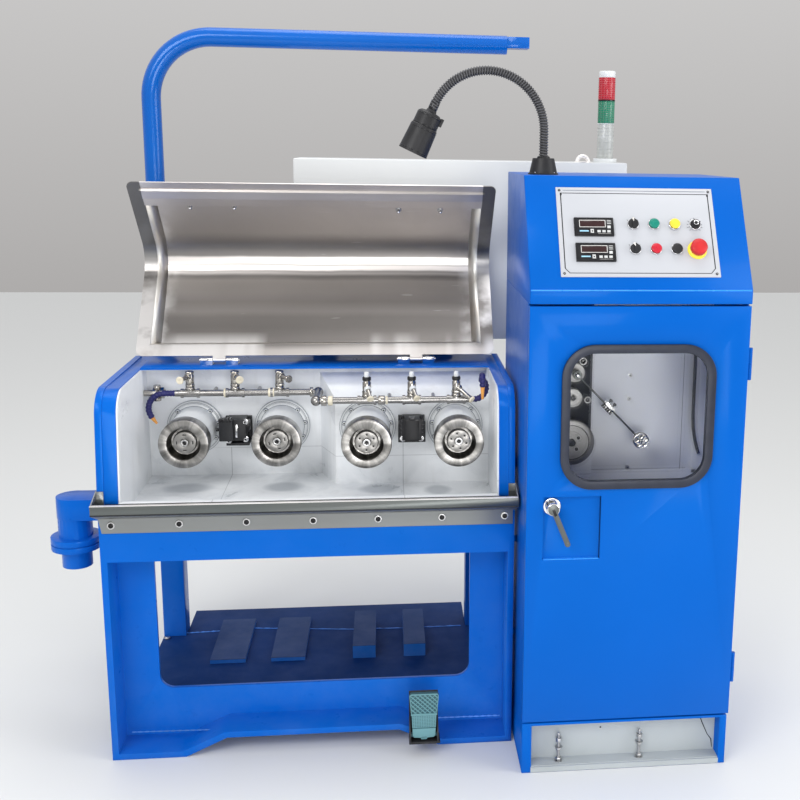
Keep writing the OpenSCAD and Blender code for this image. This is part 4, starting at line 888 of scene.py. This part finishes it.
p.lathe([(4.0, 19.3), (0, 19.4)], m0, 1)
for k in range(20):
    p.brick((10.4, -0.9, 3.2), (11.6, 0.9, 14.2), m0 @ Matrix.Rotation(k * TAU / 20, 4, "Z"), 1)
p.brick((-0.6, 7.4, 14.8), (0.6, 10.6, 15.1), m0, 2)
p.done(0.2)
# painted highlight: a lighter blue bead along the control box's fold line
p = Piece("box_fold_highlight", "fold", slot="blue_paint")
p.tube([(2, 0.6, 1243), (536, 0.6, 1243)], 1.8, 0, 12)
p.done()
p = Piece("stop_disc", "yellow", slot="yellow_plastic")
p.lathe([(14.2, 2.5), (23.5, 2.5), (24, 3.2), (23, 5), (17.2, 9.2), (14.2, 9.2)],
        FACE @ at(BEZEL_X[3], ROW_S[0], 0), 0, 48, True)
p.done()
for name, body, mat, i, j in [("green_dome", "green_button", "green", 1, 1),
                              ("yellow_dome", "yellow_button", "yellow", 2, 1),
                              ("red_dome", "red_button", "red", 1, 0), ("black_dome", "black_button", "black", 2, 0)]:
    p = Piece(name, mat, body, "black_plastic" if mat == "black" else f"{mat}_plastic")
    p.lathe([(10.6, 10.3), (10.9, 10.4), (10.9, 12.7), (12.8, 12.8), (13.0, 13.4), (12.4, 14.2), (10, 15.1),
             (6, 15.8), (0, 16.2)], FACE @ at(BEZEL_X[i], ROW_S[j], 0))
    p.done()
p = Piece("stop_dome", "stop_red", "emergency_stop", "red_plastic")
p.lathe([(19.2, 24.6), (18.4, 26.4), (15, 28.0), (8, 28.9), (0, 29.2)], FACE @ at(BEZEL_X[3], ROW_S[0], 0), 0, 48)
p.done()

# ---------------------------------------------------------------- window
p = Piece("seal_ring", "seal", "door", "rubber")
outer, inner = rounded(80, 756, 458, 1114, 80, 12), rounded(101, 777, 437, 1093, 59, 12)
p.plate(outer, [inner], 0, 8, front(0, 0, 0))
p.plate(outer, [inner], 0, 6, sheet(2, 1))
p.plate(rounded(92.5, 768.5, 445.5, 1101.5, 68, 12), [inner], -2, 0, front(0, 0, 0))
ring = p.done(3.6)
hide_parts("window_seal")
p = Piece("window_fittings", "steel gloss_black panel_edge rubber panel", slot="steel")
for x, z, r in [(185, 1015.6, 10.5), (200, 909.7, 9.5)]:
    p.lathe([(r - 3.2, 0), (r, 0), (r, 4), (r - 0.8, 5), (r - 2.6, 5), (r - 3.2, 4)], front(x, PANEL_Y, z), 0, 28,
            True)
    p.ring(0, r - 3.1, 0.3, 0.6, front(x, PANEL_Y, z), 1)
for x, z in [(314.6, 976), (314, 911.4), (315.2, 719.3)]:
    p.ring(3.4, 6, 0, 1, front(x, PANEL_Y, z), 0, 24)
    p.screw(front(x, 299.4, z), 4.0, 3.0)
p.brick((461.5, 299.3, 712), (463, 300.2, 1190), mat=2)
p.brick((214, 299.3, 714.4), (478, 300.2, 715.6), mat=2)
p.brick((214, 298.6, 703.5), (498, 300.2, 704.5), mat=2)
p.tube([(490.5, 292, 1130 - 8 * k) for k in range(34)] + [(491 + 0.0070 * k * k * 20, 292,
                                                           866 - 9 * k) for k in range(1, 13)], 4.4, 3, 10)
p.brick((494, 296, 702), (536, 299.8, 1190), mat=4)
p.brick((214, 296, 652), (536, 299.6, 711), mat=4)
p.brick((60, 295, 652), (214.4, 299.7, 792), mat=4)
p.brick((60, 294.6, 703.5), (214, 295.1, 704.5), mat=2)
p.done(0.2)
p = Piece("dancer_clamp", "chrome gloss_black lever", "dancer_arm", "chrome")
p.ring(0, 2.3, 6, 240, DANCER @ rightward(0, 225, 0), 2, 14)
p.lathe([(6.4, -8), (11, -8), (12, -7), (12, 7), (11, 8), (6.4, 8)], DANCER @ front(0, 225, 0), 2, 32, True)
p.ring(0, 4.6, -5, 24, DANCER @ front(DANCER_ARM, 225, 0), 2, 16)
p.brick((107, 213, -12), (137, 233, -1), DANCER, 1)
p.brick((107, 213, -1), (137, 233, 9), DANCER, 0)
for x in (114, 129):
    p.brick((x - 0.8, 212, -12.4), (x + 0.8, 213.4, -1), DANCER, 0)
    p.lathe([(1.8, 0), (1.8, 8), (0, 8)], DANCER @ at(x, 224, 8), 1, 12)
    p.lathe([(0, 5), (4.0, 5), (4.6, 6), (4.6, 10.4), (3.8, 11.6), (0, 12)], DANCER @ at(x, 224, 8), 1, 10)
p.lathe([(0, 0), (4.5, 0), (5.2, 1), (5.2, 6), (4.2, 7.6), (0, 8)], DANCER @ front(0, 217, 0), 0, 6)
arm = p.done(0.3)
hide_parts("dancer_arm")
tip = DANCER @ Vector((DANCER_ARM, 205, 0))
p = Piece("dancer_pulley_face", "chrome gloss_black", "dancer_pulley", "chrome")
m0 = front(*tip)
p.plate(circle(20.4, 48), [circle(4.4, 18, *polar(12, k * TAU / 5 + 0.4)) for k in range(5)] + [circle(3, 16)], 0,
        1.4, m0)
p.lathe([(18, 1.4), (20.8, 1.4), (20.8, 2.8), (19.4, 3.2), (18, 2.4)], m0, 0, 48, True)
p.lathe([(0, 1.2), (3.4, 1.2), (3.4, 3.4), (2.4, 4.4), (0, 4.4)], m0, 0, 6)
p.done(0.1)
for name, body, x, z, r in [("guide_face_upper", "guide_wheel_upper", 157, 994, 25),
                            ("guide_face_lower", "guide_wheel_lower", 152, 926, 25)]:
    p = Piece(name, "wheel gloss_black", body)
    m0 = front(x, WHEEL_Y, z)
    p.lathe([(8.4, -0.2), (r - 1, -0.2), (r, 0.6), (r - 1, 1.6), (r - 5.5, 1.8), (r - 6, 0.8), (10, 0.8),
             (9.6, 1.8), (8.4, 1.8)], m0, 0, 48, True)
    p.done()
p = Piece("finishing_face", "wheel gloss_black steel", "finishing_wheel")
m0 = front(151, WHEEL_Y, 805, 0.35)
p.lathe([(12, -0.2), (51, -0.2), (52, -6), (60, -6), (61, -5), (61, 1.6), (59.6, 2.8), (49, 3.0), (48.2, 1.0),
         (31, 1.0), (30.4, 3.4), (12, 3.4)], m0, 0, 72, True)
p.ring(45.4, 47.4, 0.9, 1.25, m0, 1, 72)
for k in range(4):
    spot = m0 @ at(*polar(22, k * TAU / 4 + 0.3), 0)
    p.ring(0, 5.0, 3.42, 3.7, spot, 1, 18)
    p.ring(5.0, 6.0, 3.4, 3.9, spot, 2, 18)
p.done()

# ---------------------------------------------------------------- lid: slanted side walls, hem, nuts and handles
# Lengths of the two legs, height of the border's outer face and start of the sheet, in the lid's own frame.
LEG1, LEG2, FACE_Z, START = 334.825, 308.69, -6.0, 8.5
TURN = math.radians(84)
LID_X = (-1014.0, -32.0)


def lid_path(inset, high):
    """Side view of the closed lid at a height over the border's outer face, in the lid's own Y and Z."""
    swell = high * math.tan(TURN / 2)
    r = 76 + high
    a, b = LEG1 - START - inset + swell, LEG2 - inset + swell
    reach = r * math.tan(TURN / 2)
    cx, cz = a - reach, -r
    pts = [(0.0, 0.0)] + [(cx + r * math.sin(TURN * k / 12), cz + r * math.cos(TURN * k / 12)) for k in range(13)]
    pts.append((pts[-1][0] + (b - reach) * math.cos(TURN), pts[-1][1] - (b - reach) * math.sin(TURN)))
    return [(-(START + inset + y), FACE_Z + high + z) for y, z in pts]


def lid_face_at(x, s, h):
    """Frame on the lid's front leg: s back from its tip, h inwards; local Z points inwards."""
    y = LEG1 + (LEG2 - s) * math.cos(TURN) - h * math.sin(TURN)
    z = FACE_Z - (LEG2 - s) * math.sin(TURN) - h * math.cos(TURN)
    d = Vector((0, math.sin(TURN), -math.cos(TURN)))
    return LID @ aimed((x, -y, z), d)


p = Piece("lid_walls", "weld", "lid", "stainless")
outer, inner = lid_path(36.3, -2.6), lid_path(54, 20.8)
rails = []
for x_out, x_in in [(LID_X[0] + 36.3, LID_X[0] + 60), (LID_X[1] - 36.3, LID_X[1] - 60)]:
    a = [p.bm.verts.new(LID @ Vector((x_out, y, z))) for y, z in outer]
    b = [p.bm.verts.new(LID @ Vector((x_in, y, z))) for y, z in inner]
    p.faces([[a[k], a[k + 1], b[k + 1], b[k]] for k in range(len(a) - 1)], 0)
    rails.append((a, b))
for k in (0, -1):
    p.faces([[rails[0][0][k], rails[1][0][k], rails[1][1][k], rails[0][1][k]]], 0)
walls = p.done(0, 30)
solid = walls.modifiers.new("sheet", "SOLIDIFY")
solid.thickness = 0.0008
solid.offset = 0.0
# real hem strips near the tip; their bright colour is a painted reflection
p = Piece("lid_hem", "hem gloss_black", "lid", "stainless")
for s0, s1, h0, h1 in [(15, 33, -5.6, -8.6), (35.5, 55, -8.6, -19)]:
    corners = [(x, s, h) for s, h in [(s0, h0), (s1, h1), (s0, h0 + 2.0), (s1, h1 + 2.0)]
               for x in (LID_X[0] + 34, LID_X[1] - 34)]
    v = [p.bm.verts.new(lid_face_at(*c).translation) for c in corners]
    p.faces([[v[0], v[1], v[3], v[2]], [v[4], v[5], v[7], v[6]], [v[0], v[1], v[5], v[4]], [v[2], v[3], v[7], v[6]],
             [v[0], v[2], v[6], v[4]], [v[1], v[3], v[7], v[5]]], 0)
p.done()
p = Piece("lid_nuts", "chrome gloss_black steel", "lid", "chrome")
handle = Piece("lid_handles", "chrome", "lid", "chrome")
for x0, x1, s in [(-865.5, -747.5, 114), (-297.7, -180.4, 122.5)]:
    for x in (x0, x1):
        m0 = lid_face_at(x, s, -21)
        p.lathe([(0, 0), (8.4, 0), (8.4, 1.6), (7.4, 2.2), (0, 2.2)], m0, 2)
        p.lathe([(0, 2), (6.6, 2), (6.6, 6), (5.6, 7)], m0, 0, 6)
        p.lathe([(5.6, 6.4), (5.4, 9), (4, 12), (2, 13.4), (0, 13.8)], m0, 0, 24)
        handle.lathe([(5.2, 0), (8.4, 0), (8.4, 2), (6, 4), (5.2, 4)], lid_face_at(x, s, -24) @ spun(180, "X"), 0,
                     24, True)
    arc = []
    for k in range(25):
        t = k / 24
        bend = min(1.0, math.sin(math.pi * t) * 2.2)
        arc.append(lid_face_at(x0 + (x1 - x0) * t, s, -24 - 34 * bend).translation)
    handle.tube(arc, 5, 0, 14)
p.done(0.15)
handle.done()

# ---------------------------------------------------------------- signal light, eyebolt, lamp
p = Piece("signal_body", "lens_clear white steel gloss_black", slot="white_paint")
p.lathe([(23.2, 1542), (25, 1543), (25, 1641), (24.2, 1643), (23.2, 1643)], at(*SIGNAL, 0), 0, 40, True)
for k in range(9):
    p.lathe([(24.8, 0), (25.5, 0.8), (25.5, 2.2), (24.8, 3)], at(*SIGNAL, 1548 + 10.4 * k), 0, 40)
p.lathe([(24, 1643), (26, 1643.5), (26, 1645.4), (24, 1646)], at(*SIGNAL, 0), 1, 40, True)
p.lathe([(24, 1710.6), (25.8, 1711), (25.8, 1715), (24, 1715.4)], at(*SIGNAL, 0), 3, 40, True)
p.lathe([(25, 1795.5), (25, 1797), (22, 1799), (0, 1800)], at(*SIGNAL, 0), 1, 40)
for k in range(3):
    a = k * TAU / 3 + 0.5
    p.screw(at(*polar(30, a, *SIGNAL), 1542), 2.4, 2, 2, 1)
p.done()
p = Piece("signal_ribs", "lens_two", slot="lens")
for j in range(2):
    for k in range(12):
        z = 1649 + 69 * j + 5.2 * k
        p.lathe([(24.6, z), (25.7, z + 0.8), (25.7, z + 2.6), (24.6, z + 3.4)], at(*SIGNAL, 0), 0, 40)
p.done()
p = Piece("eyebolt", "hem", slot="steel")
p.lathe([(0, 0), (26, 0), (26, 2), (24, 3), (0, 3)], at(252, 765, 1530))
p.tube([(252 + 17 * math.cos(math.pi * k / 20), 765, 1531 + 17 * math.sin(math.pi * k / 20)) for k in range(21)],
       6.2, 0, 12)
p.done()
p = Piece("neck_rings", "neck_ring", slot="black_plastic")
spine = [(Vector((NECK_X, NECK_Y, 1546 + 6.6 * k)), Vector((0.16, 0, 1))) for k in range(10)]
for k in range(61):
    a = math.radians(NECK_SWEEP * k / 58.5)
    x, z = polar(NECK_R, a, NECK_X - NECK_R, NECK_Z)
    spine.append((Vector((x, NECK_Y, z)), Vector((-math.sin(a - 0.16), 0, math.cos(a - 0.16)))))
for c, d in spine:
    p.lathe([(9.2, -1.9), (11.6, -1.2), (12.0, 0.0), (11.6, 1.2), (9.2, 1.9)], aimed(c, d), 0, 16)
p.done(0, 80)
HEAD = at(NECK_X - NECK_R, NECK_Y, NECK_Z) @ spun(-NECK_SWEEP, "Y") @ at(NECK_R, 0, 0)
p = Piece("lamp_shade", "black lens_clear gloss_black", slot="black_plastic")
p.lathe([(0, 16), (12, 17), (13.5, 22), (24, 24), (30, 29), (31, 32), (31.4, 60), (33.6, 62), (34, 66), (36.6, 126),
         (37, 130), (35, 130.4), (33.4, 125),
         (30, 118), (0, 117)], HEAD, 0, 48)
p.lathe([(0, 118.5), (29, 119), (30, 121), (29, 122), (0, 123)], HEAD, 1, 40)
for h, r in [(33, 31.2), (58, 31.8), (68, 34.3), (124, 36.6)]:
    p.lathe([(r - 1, h - 1.6), (r + 0.5, h - 1), (r + 0.5, h + 1), (r - 1, h + 1.6)], HEAD, 2, 48)
p.brick((-37, -7, 26), (-29, 7, 46), HEAD, 0)
p.lathe([(10, -6), (11.4, -4), (11.4, 18), (10, 20)], HEAD, 2, 20)
lamp = p.done(0.5)
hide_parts("lamp_head")
p = Piece("lamp_base_trim", "black steel", slot="black_plastic")
p.lathe([(30, 0), (38, 0), (38, 3), (35, 4.4), (30, 4.4)], at(NECK_X, NECK_Y, 1505), 0, 40, True)
p.lathe([(11, 36), (16, 37), (16, 43), (12, 46), (11, 46)], at(NECK_X, NECK_Y, 1505), 0, 32, True)
for k in range(4):
    p.screw(at(*polar(33, k * TAU / 4 + 0.8, NECK_X, NECK_Y), 1509.4), 2.6, 2, 1, 0)
p.done()

# ---------------------------------------------------------------- door handle, pedal, base plate, plinth and feet
p = Piece("handle_trim", "chrome gloss_black lever", "door_handle", "chrome")
LEVER = at(64, 0, 711) @ spun(-22.5, "Y")
p.lathe([(0, -3), (9, -3), (15.5, 0), (16.4, 4), (16, 10), (13.4, 12), (8, 12)], front(64, -12, 711) @ at(0, 0, -2),
        0, 40)
p.lathe([(8.2, 7), (21, 7), (22.5, 8), (22.5, 10), (21, 11.5), (8.2, 11.5)], front(64, 12.5, 711) @ at(0, 0, -5), 0,
        40, True)
p.brick((-3.4, -24.4, -16), (3.4, -22.6, 2), LEVER, 1)
p.lathe([(0, 0), (6.4, 0), (6.8, 1.5), (6.8, 6.5), (6.4, 8), (0, 8)], LEVER @ at(0, -15, -96) @ spun(90, "X"), 2, 28)
p.done(0.4)
TREAD = at(0, 113, 58) @ spun(5, "X")
p = Piece("pedal_tread", "teal teal_dark", "pedal", "teal_plastic")
skin = TREAD @ at(-245, -7, 0) @ spun(90, "X")
SIDE = [(8, -4), (26, -3), (29.5, 4), (32, 46), (33.5, 64), (38, 119), (34, 125)]
p.plate(SIDE + [(-x, z) for x, z in reversed(SIDE)], [], -10, 0, skin, 1)
for k in range(-6, 10):
    for lean, r in ((-1, 1.7), (1, 0.9)):
        x0 = 12.5 * k
        run = [(x0 + d, 122 - d if lean < 0 else 67 + d) for d in range(56)]
        run = [q for q in run if abs(q[0]) < 33 + (q[1] - 64) * 0.08]
        if len(run) > 3:
            p.tube([skin @ Vector((q[0], q[1], 0.4)) for q in (run[0], run[-1])], r, 0, 6)
for k in range(14):
    p.brick((-30.3 + 4.5 * k, 25, -0.2), (-27.8 + 4.5 * k, 62, 1.1), skin, 0)
for k in range(9):
    p.brick((-31, 25.4 + 4.3 * k, -0.2), (31, 27.6 + 4.3 * k, 0.9), skin, 0)
p.brick((-34, 62.4, -0.4), (34, 67, 2.6), skin, 0)
p.plate([(34, 125), (-34, 125), (-38, 119), (-36, 119), (-33, 122), (33, 122), (36, 119), (38, 119)], [], -0.4, 2.0,
        skin, 0)
for x in (-1, 1):
    p.plate([(x * 38, 119), (x * 33.5, 64), (x * 31.5, 64), (x * 35.8, 119)][::x], [], -0.4, 2.0, skin, 0)
p.plate([(30, 23), (-30, 23), (-29.5, 4), (-26, -3), (-9, -4), (-7, -9), (7, -9), (9, -4), (26, -3), (29.5, 4)], [],
        -0.5, 2.6, skin, 0)
p.brick((-7.5, -3.4, 2.4), (7.5, -1.6, 3.0), skin, 1)
p.ring(0, 6, 0.4, 75.6, rightward(-283, 113, 58), 1, 20)
tread = p.done(0.4)
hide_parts("pedal")
p = Piece("pedal_body", "black gloss_black", slot="black_plastic")
p.brick((-283, 142, 38), (-207, 158, 160))
p.brick((-284, 98, 38), (-203, 142, 44))
for x in (-283, -211.5):
    p.plate([(142, 44), (142, 104), (132, 100), (100, 66), (98, 44)], [], x, x + 4.5,
            Matrix(((0, 0, 1, 0), (1, 0, 0, 0), (0, 1, 0, 0), (0, 0, 0, 1))))
body = p.done(0.8)
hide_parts("pedal_base")
p = Piece("base_fittings", "pad pad_top weld_blue navy", slot="blue_paint")
for x, w, h, d in [(-862, 102, 12, 284), (-684, 99, 12, 284), (-442, 67, 40, 254), (-289, 64, 40, 254)]:
    p.brick((x - 0.6, 585.4, 50), (x + w + 0.6, 586.6 + d, 49 + h), mat=0)
    p.brick((x - 0.6, 585.2, 49 + h), (x + w + 0.6, 586.6 + d, 50.8 + h), mat=1)
line = [(-967, 806), (-870, 812), (-757, 824), (-659, 813), (-463, 791), (-294, 786), (-86, 789)]
pts, widths = [], []
for (x0, y0), (x1, y1) in zip(line, line[1:]):
    for k in range(12):
        t = k / 12
        pts.append((x0 + (x1 - x0) * t, y0 + (y1 - y0) * t, 50.6))
        widths.append(2.0 + 1.3 * math.sin(len(pts) * 2.4) * math.sin(len(pts) * 0.7))
p.tube(pts, widths, 2, 8)
# flange weld beads, lighter blue as a painted highlight along the joins
for ends in [((-1007, 46), (-748, 42)), ((-204, 47), (-35, 45.5))]:
    (x0, z0), (x1, z1) = ends
    n = int((x1 - x0) / 5)
    run = [(x0 + (x1 - x0) * k / n, 214.6, z0 + (z1 - z0) * k / n) for k in range(n + 1)]
    p.tube(run, [1.7 + 0.8 * math.sin(k * 1.9) for k in range(n + 1)], 2, 8)
p.done()
p = Piece("plinth_trim", "plinth_white gloss_black navy", slot="white_paint")
p.brick((23, -0.9, 1), (517, 0.3, 15))
p.tube([(471, 39.4, 125), (480, 39.4, 100), (497, 39.4, 62), (508, 39.4, 47), (511, 39.2, 24)],
       [1.5, 1.3, 0.9, 1.4, 0.8], 1, 6)
p.done()
p = Piece("recess_highlight_and_shade_lines", "fold navy", "door", "blue_paint")
# painted highlight: bright line along the bottom of the door recess
p.brick((44, 0.3, 575), (183, 9.7, 576.8), mat=0)
# painted shade: navy strip on the recess's right side
p.brick((183.6, 0.3, 576), (185, 9.7, 736), mat=1)
p.done()
p = Piece("foot_bolts", "steel gloss_black", slot="steel")
for x, low in [(98, 56), (310, 60)]:
    p.lathe([(0, 16), (4, 17), (4, 92), (3, 95), (0, 97)], at(x, 22, 0), 0, 16)
    for k in range(34):
        p.lathe([(3.8, 0), (4.6, 0.7), (3.8, 1.4)], at(x, 22, 24 + 2.0 * k), 0, 14)
    for z, r, h in [(72, 7.4, 9), (low - 6, 7.4, 6), (21, 8, 7)]:
        p.screw(at(x, 22, z), r, h, 0, 1, 6)
    for z, r in [(81.4, 8), (low, 10), (18.2, 10.5)]:
        p.ring(0, r, 0, 2, at(x, 22, z), 0, 24)
p.ring(0, 2.4, 0, 0.5, front(210, 40, 96), 1, 12)
studs = p.done()
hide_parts("levelling_bolts")
# painted shadow: black strip along the gap behind the drip lip
p = Piece("beam_shadow_gap", "gloss_black", slot="black_plastic")
p.brick((-1026, 157.5, 686.5), (-24, 166, 690.9))
p.done()

# ---------------------------------------------------------------- sides and back
p = Piece("housing_fittings", "blue steel gloss_black white", slot="blue_paint")
for x in (-900, -700, -500, -300, -150):
    for z in (660, 900):
        p.screw(back(x, 928, z), 7, 6, 1, 2, 6)
p.plate(rounded(-900, 650, -150, 905, 14), [rounded(-880, 670, -170, 885, 10)], 0, 3,
        back(0, 928, 0) @ Matrix.Scale(-1, 4, (0, 1, 0)))
for z in (1060, 1265, 1470):
    p.ring(0, 7, 0, 60, at(376, 1003.5, z - 30), 1, 16)
p.plate(rounded(-575, 1022, 361, 1508, 6), [], 0, 2.6, sheet(1000, 1), 3)
for z in (1100, 1430):
    p.lathe([(0, 0), (16, 0), (16, 3), (12, 5), (0, 5)], back(-545, 1002.6, z), 1, 28)
    p.brick((-548, 1005, z - 14), (-542, 1011, z + 14), mat=2)
for k in range(12):
    p.brick((-420, 1002.4, 1080 + 9 * k), (-300, 1005, 1083 + 9 * k), mat=2)
p.plate(rounded(34, 180, 506, 1160, 6), [], 0, 2.2, sheet(505, 1))
for x in (50, 270, 490):
    for z in (196, 670, 1144):
        p.screw(back(x, 507.2, z), 5, 3.4, 1, 2)
for k in range(14):
    p.brick((170, 507.0, 260 + 11 * k), (370, 509.4, 264 + 11 * k), mat=2)
p.done(0.6)
p = Piece("post_caps", "blue steel", slot="blue_paint")
for x in (-1034, -88):
    p.plate(rounded(x - 6, 784, x + 74, 864, 4), [], 0, 6)
for x, y in [(-1020, 770), (-1020, 300), (-40, 300), (-40, 770)]:
    p.screw(at(x, y, 50), 9, 7, 1, 1, 6)
p.done(0.6)

# ---------------------------------------------------------------- camera, floor and light
FOCAL_PX, PHOTO_PX, SENSOR = 1098.63, 800, 36
YAW, PITCH, ROLL = 0.12410, -0.19948, 0.016628
fwd = Vector((math.sin(YAW) * math.cos(PITCH), math.cos(YAW) * math.cos(PITCH), math.sin(PITCH)))
right0 = Vector((math.cos(YAW), -math.sin(YAW), 0))
up0 = right0.cross(fwd)
right = right0 * math.cos(ROLL) + up0 * math.sin(ROLL)
up = up0 * math.cos(ROLL) - right0 * math.sin(ROLL)
cam = bpy.data.objects.new("camera", bpy.data.cameras.new("camera"))
scene.collection.objects.link(cam)
turn = Matrix((right, up, -fwd)).transposed().to_4x4()
cam.matrix_world = Matrix.Translation(row((-334.6, -2531.2, 1568.8))) @ turn
cam.data.sensor_width = SENSOR
cam.data.lens = FOCAL_PX * SENSOR / PHOTO_PX
cam.data.shift_x = -0.1511
cam.data.shift_y = -0.0372
cam.data.clip_start = 0.05
scene.camera = cam

bm = bmesh.new()
bmesh.ops.create_grid(bm, x_segments=1, y_segments=1, size=9)
floor_mesh = bpy.data.meshes.new("floor")
bm.to_mesh(floor_mesh)
floor = bpy.data.objects.new("floor", floor_mesh)
floor.location.z = -0.0005
floor_mat = Nodes("floor_pale")
floor_mesh.materials.append(floor_mat.done(Base_Color=(0.72, 0.73, 0.73, 1), Roughness=0.6))
scene.collection.objects.link(floor)
floor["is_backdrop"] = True

world = bpy.data.worlds.new("studio")
scene.world = world
world.use_nodes = True
bg = world.node_tree.nodes["Background"]
tex = world.node_tree.nodes.new("ShaderNodeTexCoord")
sep = world.node_tree.nodes.new("ShaderNodeSeparateXYZ")
sky = world.node_tree.nodes.new("ShaderNodeValToRGB")
sky.color_ramp.elements[0].position = 0.30
sky.color_ramp.elements[0].color = (0.30, 0.28, 0.27, 1)
sky.color_ramp.elements[1].position = 0.75
sky.color_ramp.elements[1].color = (1.0, 1.0, 1.0, 1)
half = world.node_tree.nodes.new("ShaderNodeMapRange")
half.inputs["From Min"].default_value = -1
world.node_tree.links.new(tex.outputs["Generated"], sep.inputs[0])
world.node_tree.links.new(sep.outputs["Z"], half.inputs["Value"])
world.node_tree.links.new(half.outputs[0], sky.inputs[0])
world.node_tree.links.new(sky.outputs[0], bg.inputs["Color"])
bg.inputs["Strength"].default_value = 0.82


def area(name, place, aim, size, power):
    light = bpy.data.lights.new(name, "AREA")
    light.shape = "RECTANGLE"
    light.size, light.size_y = size
    light.energy = power
    o = bpy.data.objects.new(name, light)
    scene.collection.objects.link(o)
    o.location = place
    o.rotation_mode = "QUATERNION"
    o.rotation_quaternion = (Vector(aim) - Vector(place)).to_track_quat("-Z", "Y")


area("key", (-2.2, -3.6, 3.4), (0, 0, 0.9), (2.6, 1.6), 90)
area("fill", (3.8, -1.9, 1.9), (0.3, 0, 0.9), (2.2, 2.2), 62)
area("top", (0.2, 0.2, 4.6), (0, 0, 0.8), (3.2, 2.2), 60)
area("front", (0.5, -4.2, 1.0), (0.45, 0, 0.95), (1.8, 1.2), 46)
scene.view_settings.view_transform = "Standard"

low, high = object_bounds()
